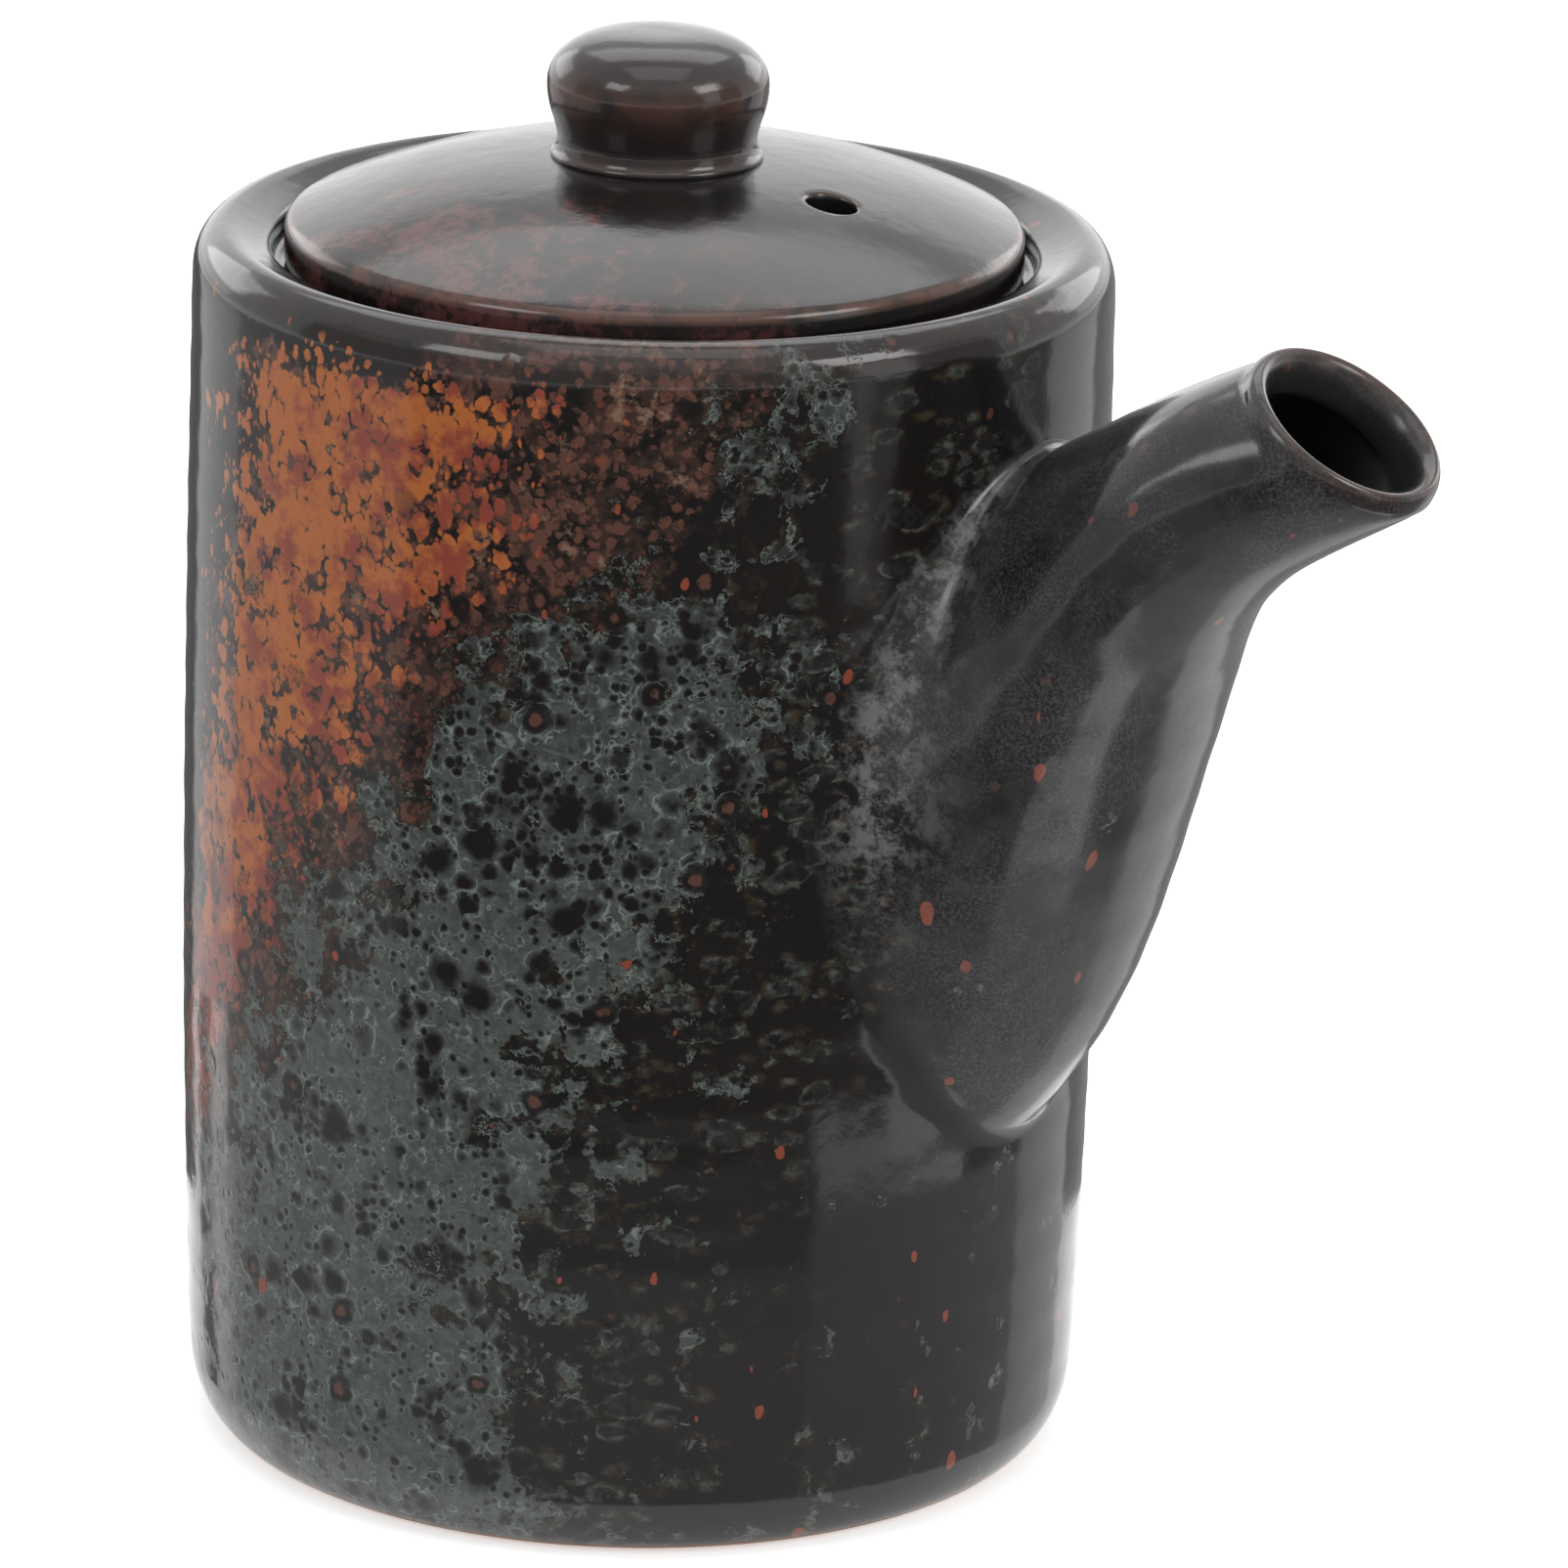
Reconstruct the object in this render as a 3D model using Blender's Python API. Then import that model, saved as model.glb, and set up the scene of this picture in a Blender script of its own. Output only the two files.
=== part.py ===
"""A lidded stoneware pouring pot for sake, in metres, +Z up, with the spout towards +X.

The origin is the centre of the flat base, on the axis of the pot. Four clay pieces make it: the
thrown pot, the spout that is luted to its wall, the lid and the knob that is luted to the lid. The
lid rests on a ledge inside the pot's mouth and lifts straight off.
"""

import math

import bmesh
import bpy
from mathutils import Vector

# Pot
POT_RADIUS = 0.0405  # at the belly, half way up
BASE_INSET = 0.0012  # how much narrower the wall is just above the foot
SHOULDER_INSET = 0.0004  # how much narrower the wall is just under the rim
RIM_HEIGHT = 0.1088
WALL = 0.0040
FLOOR = 0.0055
FOOT_ROUND = (0.0039, 0.0072)  # across, up
SHOULDER_ROUND = (0.0030, 0.0039)
FLOOR_ROUND = 0.0060

# Mouth of the pot, with the ledge that carries the lid
RIM_WIDTH = 0.0072  # from the belly's radius in to the gallery that the lid drops into
RIM_SLOPE_DROP = 0.0014  # how far the rim falls towards the lid
GALLERY_DEPTH = 0.0034  # from the rim's crest down to the ledge
LEDGE_WIDTH = 0.0040
LEDGE_THICKNESS = 0.0032
LEDGE_TAPER = 0.0050  # height of the slope under the ledge

# Lid
LID_GAP = 0.0011  # round the lid's edge
LID_RISE = 0.0063  # from the edge to the crown
LID_FULLNESS = 2.5  # 2 is a parabola, more is flatter on top and steeper at the edge
LID_EDGE = 0.0037  # height at which the dome springs from the edge, above the ledge
LID_EDGE_ROUND = 0.0014
LID_THICKNESS = 0.0038
FLANGE_GAP = 0.0008  # between the flange and the ledge
FLANGE_THICKNESS = 0.0026
FLANGE_DEPTH = 0.0070  # below the ledge
VENT_RADIUS = 0.00245
VENT_PLACE = 0.5435  # share of the way from the knob's foot out to the flange, on the spout's side

# Knob
KNOB_RADIUS = 0.00967
KNOB_NECK_RADIUS = 0.0087
KNOB_FLARE = 0.00055  # how much the foot of the neck spreads
KNOB_HEIGHT = 0.01075
KNOB_NECK_HEIGHT = 0.0016
KNOB_GIRTH_HEIGHT = 0.0061  # of its widest line
KNOB_FULLNESS = 0.65  # 1 is an elliptical head, less is squarer

# Spout
MOUTH_REACH = 0.0303  # from the wall to the middle of the spout's mouth
MOUTH_DROP = 0.0048  # from the pot's rim down to that point
MOUTH_TILT = math.radians(56)  # of the mouth's axis above the horizontal
LIP_RADIUS = 0.0094
LIP_ROUND = (0.0009, 0.0018)  # across, along the mouth's axis
BORE_RADIUS = 0.0070  # behind the flared mouth
BORE_FLARE = 0.0011
ROOT_CROWN_DROP = 0.0133  # from the rim down to the top of the root
ROOT_HEIGHT = 0.0610
ROOT_HALF_WIDTH = 0.0187
BELLY_HALF_WIDTH = 0.0172  # what the sides are drawn towards between the root and the lip
CREST_PULL = (0.0131, 0.0086)  # the crest's control point, out from and up from its root
ROOT_WALL = 0.0042
POUR_HOLE = (0.0080, 0.0110)  # half width, half height
POUR_HOLE_LIFT = 0.0280  # of its centre, above the foot of the root

# The underside's bends: the share of the way from root to lip, and the depth inside that chord.
UNDERSIDE_BENDS = ((0.154, 0.0), (0.41, 0.0046), (0.63, 0.0083), (0.80, 0.0071))

JOINT_GAP = 0.0003  # between pieces that touch

TURNED_SEGMENTS = 64
KNOB_SEGMENTS = 40
ROUND_STEPS = 4
DOME_STEPS = 7
WALL_STEPS = 4
SPOUT_SIDES = 36
SPOUT_STATIONS = 12
VENT_SIDES = 16
SHARP_ANGLE = math.radians(40)  # edges at least this steep stay crisp

# Glazes: linear colour and roughness
POT_GLAZE = ((0.030, 0.024, 0.022), 0.22)
SPOUT_GLAZE = ((0.028, 0.026, 0.026), 0.24)
LID_GLAZE = ((0.050, 0.036, 0.034), 0.20)
KNOB_GLAZE = ((0.040, 0.030, 0.028), 0.18)


def clear_scene():
    """Removes the objects that the scene starts with."""
    for existing in list(bpy.data.objects):
        bpy.data.objects.remove(existing)


def glaze(name, colour, roughness):
    """A Principled material of one colour."""
    material = bpy.data.materials.new(name)
    material.use_nodes = True
    shader = material.node_tree.nodes["Principled BSDF"]
    shader.inputs["Base Color"].default_value = (*colour, 1.0)
    shader.inputs["Roughness"].default_value = roughness
    shader.inputs["Metallic"].default_value = 0.0
    return material


def new_object(name, mesh_builder, material):
    """Links an object made from a bmesh, shaded smooth apart from its sharp edges."""
    mesh = bpy.data.meshes.new(name)
    mesh_builder.to_mesh(mesh)
    mesh_builder.free()
    mesh.shade_smooth()
    mesh.set_sharp_from_angle(angle=SHARP_ANGLE)
    created = bpy.data.objects.new(name, mesh)
    bpy.context.scene.collection.objects.link(created)
    if material:
        mesh.materials.append(material)
    return created


def arc(centre, radii, start, end, steps=ROUND_STEPS):
    """Points of an elliptical arc in the (radius, height) plane, angles in degrees."""
    points = []
    for step in range(steps + 1):
        angle = math.radians(start + (end - start) * step / steps)
        points.append((centre[0] + radii[0] * math.cos(angle), centre[1] + radii[1] * math.sin(angle)))
    return points


def turned(name, outline, material, segments=TURNED_SEGMENTS):
    """Spins a (radius, height) outline, which starts and ends on the axis, into a closed solid."""
    build = bmesh.new()
    verts = [build.verts.new((radius, 0.0, height)) for radius, height in outline]
    edges = [build.edges.new(pair) for pair in zip(verts, verts[1:])]
    bmesh.ops.spin(
        build,
        geom=verts + edges,
        cent=(0, 0, 0),
        axis=(0, 0, 1),
        angle=math.tau,
        steps=segments,
        use_merge=True,
    )
    bmesh.ops.remove_doubles(build, verts=build.verts, dist=1e-6)
    bmesh.ops.recalc_face_normals(build, faces=build.faces)
    return new_object(name, build, material)


def skinned(name, rings, material, closed_loop=False):
    """Joins equal rings of points in order, and the last to the first or else caps both ends."""
    build = bmesh.new()
    loops = [[build.verts.new(point) for point in ring] for ring in rings]
    count = len(loops[0])
    following_loops = loops[1:] + (loops[:1] if closed_loop else [])
    for near, far in zip(loops, following_loops):
        for side in range(count):
            following = (side + 1) % count
            build.faces.new((near[side], near[following], far[following], far[side]))
    if not closed_loop:
        build.faces.new(reversed(loops[0]))
        build.faces.new(loops[-1])
    bmesh.ops.recalc_face_normals(build, faces=build.faces)
    return new_object(name, build, material)


def cut(target, cutter):
    """Takes the cutter's shape out of the target, and keeps the cutter out of renders."""
    modifier = target.modifiers.new("cut_" + cutter.name, "BOOLEAN")
    modifier.operation = "DIFFERENCE"
    modifier.solver = "EXACT"
    modifier.object = cutter
    cutter.hide_render = True
    cutter.display_type = "WIRE"


def wall_radius(height):
    """Outer radius of the pot's gently bellied wall at a height."""
    middle = RIM_HEIGHT / 2
    inset = BASE_INSET if height < middle else SHOULDER_INSET
    return POT_RADIUS - inset * ((height - middle) / middle) ** 2


def wall_points():
    """The outer wall from the top of the foot's rounding to the start of the shoulder's."""
    low = FOOT_ROUND[1]
    high = RIM_HEIGHT - SHOULDER_ROUND[1]
    heights = [low + (high - low) * step / WALL_STEPS for step in range(WALL_STEPS + 1)]
    return [(wall_radius(height), height) for height in heights]


def mouth_radius():
    """Inner radius of the gallery that the lid drops into."""
    return POT_RADIUS - RIM_WIDTH


def lid_radius():
    """Outer radius of the lid's edge."""
    return mouth_radius() - LID_GAP


def ledge_height():
    """Height of the ledge that carries the lid."""
    return RIM_HEIGHT - GALLERY_DEPTH


def make_pot(material):
    """The thrown pot: flat base, bellied wall, rounded rim, gallery with its ledge, and inside."""
    wall = wall_points()
    foot_radius, foot_top = wall[0]
    shoulder_radius, shoulder_low = wall[-1]
    crest_radius = shoulder_radius - SHOULDER_ROUND[0]
    ledge = ledge_height()
    throat = mouth_radius() - LEDGE_WIDTH
    inside = POT_RADIUS - WALL
    foot = arc((foot_radius - FOOT_ROUND[0], foot_top), FOOT_ROUND, -90, 0)
    shoulder = arc((crest_radius, shoulder_low), SHOULDER_ROUND, 0, 90)
    corner = arc((inside - FLOOR_ROUND, FLOOR + FLOOR_ROUND), (FLOOR_ROUND, FLOOR_ROUND), 0, -90)
    outline = [(0.0, 0.0)] + foot + wall[1:-1] + shoulder
    outline += [
        (mouth_radius(), RIM_HEIGHT - RIM_SLOPE_DROP),
        (mouth_radius(), ledge),
        (throat, ledge),
        (throat, ledge - LEDGE_THICKNESS),
        (inside, ledge - LEDGE_THICKNESS - LEDGE_TAPER),
    ]
    outline += corner + [(0.0, FLOOR)]
    pot = turned("pot_body", outline, material)
    cut(pot, make_pour_hole_cutter())
    return pot


def make_pour_hole_cutter():
    """An oval bar along X through the wall behind the spout."""
    middle = RIM_HEIGHT - ROOT_CROWN_DROP - ROOT_HEIGHT + POUR_HOLE_LIFT
    rings = []
    for reach in (POT_RADIUS - 3 * WALL, POT_RADIUS + WALL):
        ring = []
        for side in range(SPOUT_SIDES):
            angle = math.tau * side / SPOUT_SIDES
            ring.append((reach, POUR_HOLE[0] * math.sin(angle), middle + POUR_HOLE[1] * math.cos(angle)))
        rings.append(ring)
    return skinned("pour_hole_cutter", rings, None)


def make_wall_cutter():
    """The pot's outside, standing a joint's gap proud, which shapes the root of the spout."""
    wall = [(radius + JOINT_GAP, height) for radius, height in wall_points()]
    outline = [(0.0, -WALL), (wall[0][0], -WALL)] + wall
    outline += [(wall[-1][0], RIM_HEIGHT + WALL), (0.0, RIM_HEIGHT + WALL)]
    return turned("wall_cutter", outline, None)


def catmull_rom(points, steps):
    """A smooth curve through the points, as steps + 1 points evenly spread over its spans."""
    first = points[0] * 2 - points[1]
    last = points[-1] * 2 - points[-2]
    knots = [first, *points, last]
    spans = len(points) - 1
    curve = []
    for step in range(steps + 1):
        place = step / steps * spans
        span = min(int(place), spans - 1)
        t = place - span
        before, start, end, after = knots[span : span + 4]
        curve.append(
            (start * 2 + (end - before) * t + (before * 2 - start * 5 + end * 4 - after) * t**2
             + (start * 3 - before - end * 3 + after) * t**3) / 2
        )
    return curve


class SpoutShape:
    """The spout's side view, in (distance from the axis, height), and its half widths."""

    def __init__(self):
        """Places the root on the wall and the lip from the mouth's place and tilt."""
        crown_height = RIM_HEIGHT - ROOT_CROWN_DROP
        self.mouth = Vector((POT_RADIUS + MOUTH_REACH, RIM_HEIGHT - MOUTH_DROP))
        self.outward = Vector((math.cos(MOUTH_TILT), math.sin(MOUTH_TILT)))
        self.upward = Vector((-self.outward.y, self.outward.x))
        self.girth = self.mouth - self.outward * LIP_ROUND[1]
        self.crown = Vector((POT_RADIUS, crown_height))
        self.foot = Vector((POT_RADIUS, crown_height - ROOT_HEIGHT))
        self.underside = catmull_rom(self.underside_points(), SPOUT_STATIONS)

    def underside_points(self):
        """The foot, the named bends inside the chord, and the lip's lowest point."""
        lip = self.girth - self.upward * LIP_RADIUS
        chord = lip - self.foot
        inward = Vector((-chord.y, chord.x)).normalized()
        bends = [self.foot + chord * share + inward * depth for share, depth in UNDERSIDE_BENDS]
        return [self.foot, *bends, lip]

    def crest_point(self, t):
        """A point on the crest, on a curve with one control point."""
        lip = self.girth + self.upward * LIP_RADIUS
        control = self.crown + Vector(CREST_PULL)
        return self.crown * (1 - t) ** 2 + control * 2 * t * (1 - t) + lip * t**2

    def half_width(self, t):
        """Half the width across the spout at a share of the way to the lip."""
        return ROOT_HALF_WIDTH * (1 - t) ** 2 + BELLY_HALF_WIDTH * 2 * t * (1 - t) + LIP_RADIUS * t**2

    def station(self, step):
        """Lowest point, highest point and half width of one outer section."""
        t = step / SPOUT_STATIONS
        return self.underside[step], self.crest_point(t), self.half_width(t)


def oval_ring(low, high, half_width, thinner=0.0, sides=SPOUT_SIDES):
    """An oval section between two points of the side view, shrunk all round by a wall."""
    middle = (low + high) / 2
    half = (high - low) / 2
    half *= (half.length - thinner) / half.length
    ring = []
    for side in range(sides):
        angle = math.tau * side / sides
        place = middle + half * math.cos(angle)
        ring.append((place.x, (half_width - thinner) * math.sin(angle), place.y))
    return ring


def make_spout(material):
    """The hollow spout: its skin out to the lip, round into the mouth and back down the bore."""
    shape = SpoutShape()
    buried = Vector((-POT_RADIUS / 5, 0.0))
    low, high, width = shape.station(0)
    rings = [oval_ring(low + buried, high + buried, width)]
    for step in range(SPOUT_STATIONS + 1):
        rings.append(oval_ring(*shape.station(step)))
    for angle in (45, 90):
        radius = LIP_RADIUS - LIP_ROUND[0] * (1 - math.cos(math.radians(angle)))
        centre = shape.girth + shape.outward * LIP_ROUND[1] * math.sin(math.radians(angle))
        reach = shape.upward * radius
        rings.append(oval_ring(centre - reach, centre + reach, radius))
    reach = shape.upward * (BORE_RADIUS + BORE_FLARE)
    centre = shape.mouth - shape.outward * LIP_ROUND[0] / 2
    rings.append(oval_ring(centre - reach, centre + reach, BORE_RADIUS + BORE_FLARE))
    lip_wall = LIP_RADIUS - BORE_RADIUS
    for step in range(SPOUT_STATIONS - 1, -1, -1):
        t = step / SPOUT_STATIONS
        thinner = ROOT_WALL * (1 - t) + lip_wall * t
        rings.append(oval_ring(*shape.station(step), thinner))
    rings.append(oval_ring(low + buried, high + buried, width, ROOT_WALL))
    spout = skinned("spout", rings, material, closed_loop=True)
    cut(spout, make_wall_cutter())
    return spout


def lid_rest():
    """Height of the underside of the lid's edge."""
    return ledge_height() + JOINT_GAP


def dome_height(radius):
    """Height of the lid's domed top at a distance from the axis."""
    return lid_rest() + LID_EDGE + LID_RISE * (1 - (radius / lid_radius()) ** LID_FULLNESS)


def flange_outside():
    """Outer radius of the flange that keeps the lid in the middle of the mouth."""
    return mouth_radius() - LEDGE_WIDTH - FLANGE_GAP


def knob_foot_radius():
    """Radius of the flat on the lid that the knob's spread foot covers."""
    return KNOB_NECK_RADIUS + KNOB_FLARE


def knob_seat():
    """Height of the flat that the knob is luted to."""
    return dome_height(knob_foot_radius())


def make_lid(material):
    """The domed lid with its locating flange and its vent."""
    flange = flange_outside()
    flange_inside = flange - FLANGE_THICKNESS
    flange_foot = ledge_height() - FLANGE_DEPTH
    edge = lid_radius()
    edge_top = dome_height(edge - LID_EDGE_ROUND)
    outline = []
    for step in range(DOME_STEPS):
        radius = flange_inside * step / (DOME_STEPS - 1)
        outline.append((radius, min(dome_height(radius), knob_seat()) - LID_THICKNESS))
    outline += [
        (flange_inside, flange_foot),
        (flange - FLANGE_THICKNESS / 4, flange_foot),
        (flange, flange_foot + FLANGE_THICKNESS / 3),
        (flange, lid_rest()),
        (edge - LID_EDGE_ROUND / 2, lid_rest()),
        (edge, lid_rest() + LID_EDGE_ROUND / 2),
    ]
    corner = (edge - LID_EDGE_ROUND, edge_top - LID_EDGE_ROUND)
    outline += arc(corner, (LID_EDGE_ROUND, LID_EDGE_ROUND), 0, 70, 3)
    inner = edge - 2 * LID_EDGE_ROUND
    for step in range(DOME_STEPS):
        radius = inner + (knob_foot_radius() - inner) * step / (DOME_STEPS - 1)
        outline.append((radius, dome_height(radius)))
    outline.append((0.0, knob_seat()))
    lid = turned("lid", outline, material)
    cut(lid, make_vent_cutter())
    return lid


def make_vent_cutter():
    """A straight bar down through the lid, between the knob and the flange."""
    room = flange_outside() - FLANGE_THICKNESS - knob_foot_radius()
    offset = knob_foot_radius() + VENT_PLACE * room
    length = LID_RISE + 3 * LID_THICKNESS
    build = bmesh.new()
    bmesh.ops.create_cone(
        build, cap_ends=True, segments=VENT_SIDES, radius1=VENT_RADIUS, radius2=VENT_RADIUS, depth=length
    )
    bmesh.ops.translate(build, verts=build.verts, vec=(offset, 0.0, dome_height(offset)))
    return new_object("vent_cutter", build, None)


def make_knob(material):
    """The mushroom knob: a spread foot, a short neck and a flat-domed head."""
    foot = knob_seat() + JOINT_GAP
    neck = foot + KNOB_NECK_HEIGHT
    girth = foot + KNOB_GIRTH_HEIGHT
    top = foot + KNOB_HEIGHT
    spread = knob_foot_radius()
    swell = KNOB_RADIUS - KNOB_NECK_RADIUS
    outline = [(0.0, foot), (spread - KNOB_FLARE / 2, foot), (spread, foot + KNOB_FLARE)]
    outline.append((KNOB_NECK_RADIUS, neck))
    for step in range(1, ROUND_STEPS):
        share = step / ROUND_STEPS
        radius = KNOB_NECK_RADIUS + swell * math.sin(share * math.pi / 2)
        outline.append((radius, neck + (girth - neck) * share))
    crown_steps = 2 * ROUND_STEPS
    for step in range(crown_steps + 1):
        angle = math.pi / 2 * step / crown_steps
        radius = KNOB_RADIUS * math.cos(angle) ** KNOB_FULLNESS
        outline.append((radius if step < crown_steps else 0.0, girth + (top - girth) * math.sin(angle)))
    return turned("lid_knob", outline, material, KNOB_SEGMENTS)


def main():
    """Builds the pot, its spout, the lid and its knob."""
    clear_scene()
    make_pot(glaze("pot_glaze", *POT_GLAZE))
    make_spout(glaze("spout_glaze", *SPOUT_GLAZE))
    make_lid(glaze("lid_glaze", *LID_GLAZE))
    make_knob(glaze("knob_glaze", *KNOB_GLAZE))


main()
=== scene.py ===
"""Looks of a lidded stoneware pouring pot for sake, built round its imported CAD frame.

Sizes are in millimetres in the pot's own frame: +Z up its axis, +X towards the spout, and the
origin at the middle of the base. Surface.to_object turns them into metres.
"""

import logging
import math
from dataclasses import dataclass, field
from enum import Enum
from typing import Mapping, Optional, Sequence, Union

import bpy
import numpy as np
from mathutils import Matrix, Vector


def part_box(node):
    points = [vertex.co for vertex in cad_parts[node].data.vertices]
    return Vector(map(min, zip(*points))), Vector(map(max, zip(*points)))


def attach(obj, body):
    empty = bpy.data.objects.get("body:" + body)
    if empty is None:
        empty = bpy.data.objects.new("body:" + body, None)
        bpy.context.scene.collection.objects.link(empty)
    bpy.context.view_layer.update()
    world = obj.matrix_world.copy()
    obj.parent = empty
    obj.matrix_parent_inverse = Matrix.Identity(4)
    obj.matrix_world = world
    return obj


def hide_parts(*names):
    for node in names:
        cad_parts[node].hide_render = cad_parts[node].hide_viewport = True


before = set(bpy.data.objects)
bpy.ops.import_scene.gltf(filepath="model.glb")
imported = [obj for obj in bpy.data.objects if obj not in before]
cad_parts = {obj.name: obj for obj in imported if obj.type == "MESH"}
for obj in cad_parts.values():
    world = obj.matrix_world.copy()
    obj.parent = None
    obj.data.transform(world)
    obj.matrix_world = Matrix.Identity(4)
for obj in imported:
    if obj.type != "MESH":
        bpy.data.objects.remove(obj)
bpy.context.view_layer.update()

LOG = logging.getLogger("sake_pot")
MM = 0.001
ON_AXIS = 1e-6  # a radius below this is the axis itself
SPOUT_BEARING = 55.34  # degrees from the front of the pot round to the spout
Colour = tuple[float, float, float]
WHITE: Colour = (1.0, 1.0, 1.0)


class Body(Enum):
    """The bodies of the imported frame."""

    POT = "pot"
    LID = "lid"


class Mark(Enum):
    """Point attributes that a glaze or the relief reads."""

    RELIEF = "relief"
    WORN = "worn"
    POOLED = "pooled"
    BORED = "bored"


def tone(red: int, green: int, blue: int) -> Colour:
    """Turns an 8-bit display colour into a linear one.

    Args:
        red, green, blue: 0 to 255.

    Returns:
        The linear colour, 0 to 1.
    """
    def decode(level: int) -> float:
        """One channel, by the usual display curve."""
        share = level / 255
        return share / 12.92 if share <= 0.04045 else ((share + 0.055) / 1.055) ** 2.4

    return decode(red), decode(green), decode(blue)


def shares(count: int) -> np.ndarray:
    """The ends of count equal steps from 0 to 1."""
    return np.linspace(0, 1, count + 1)[1:]


def curve(share: float, *pulls: np.ndarray) -> np.ndarray:
    """A point at a share of the way along a smooth curve.

    Args:
        share: 0 to 1.
        pulls: the curve's start, the two points that pull it, and its end.

    Returns:
        The point, or one for each row.
    """
    start, first, second, end = pulls
    rest = 1 - share
    near = start * rest**3 + first * 3 * share * rest**2
    return near + second * 3 * share**2 * rest + end * share**3


def stand(name: str, data: bpy.types.ID) -> bpy.types.Object:
    """Makes an object of a mesh, lamp or camera, and puts it in the scene."""
    made = bpy.data.objects.new(name, data)
    bpy.context.scene.collection.objects.link(made)
    return made


def begin_material(name: str) -> tuple[bpy.types.Material, "Patch"]:
    """Makes a material, and a patch on its empty tree."""
    material = bpy.data.materials.new(name)
    material.use_nodes = True
    return material, Patch(material.node_tree)


# ---------------------------------------------------------------- node trees


class Wire:
    """A node's output, on which Python's operators add Math or Vector Math nodes."""

    def __init__(self, patch: "Patch", socket: bpy.types.NodeSocket) -> None:
        """Wraps a socket of the patch's tree."""
        self.patch = patch
        self.socket = socket

    def __add__(self, other: "Term") -> "Wire":
        """Sum."""
        return self.patch.sum("ADD", self, other)

    def __sub__(self, other: "Term") -> "Wire":
        """Difference."""
        return self.patch.sum("SUBTRACT", self, other)

    def __rsub__(self, other: "Term") -> "Wire":
        """Difference, with the wire on the right."""
        return self.patch.sum("SUBTRACT", other, self)

    def __mul__(self, other: "Term") -> "Wire":
        """Product."""
        return self.patch.sum("MULTIPLY", self, other)

    def __truediv__(self, other: "Term") -> "Wire":
        """Quotient."""
        return self.patch.sum("DIVIDE", self, other)

    def __rtruediv__(self, other: "Term") -> "Wire":
        """Quotient, with the wire on the right."""
        return self.patch.sum("DIVIDE", other, self)

    def __abs__(self) -> "Wire":
        """Absolute value."""
        return self.patch.sum("ABSOLUTE", self, 0.0)

    __radd__ = __add__
    __rmul__ = __mul__

    def least(self, other: "Term") -> "Wire":
        """The smaller of two values."""
        return self.patch.sum("MINIMUM", self, other)

    def most(self, other: "Term") -> "Wire":
        """The larger of two values."""
        return self.patch.sum("MAXIMUM", self, other)

    def rise(self, low: float, high: float) -> "Wire":
        """A smooth step from 0 at low to 1 at high, or down where low is the larger."""
        return self.patch.add(
            "ShaderNodeMapRange",
            {"interpolation_type": "SMOOTHSTEP"},
            {"Value": self, "From Min": low, "From Max": high},
        )

    def hill(self, centre: float, reach: float) -> "Wire":
        """1 at centre, falling smoothly to 0 at reach on both sides."""
        return abs(self - centre).rise(reach, 0.0)


Term = Union[Wire, float]
Value = Union[Wire, float, int, str, Sequence[float], bpy.types.ID]


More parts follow.
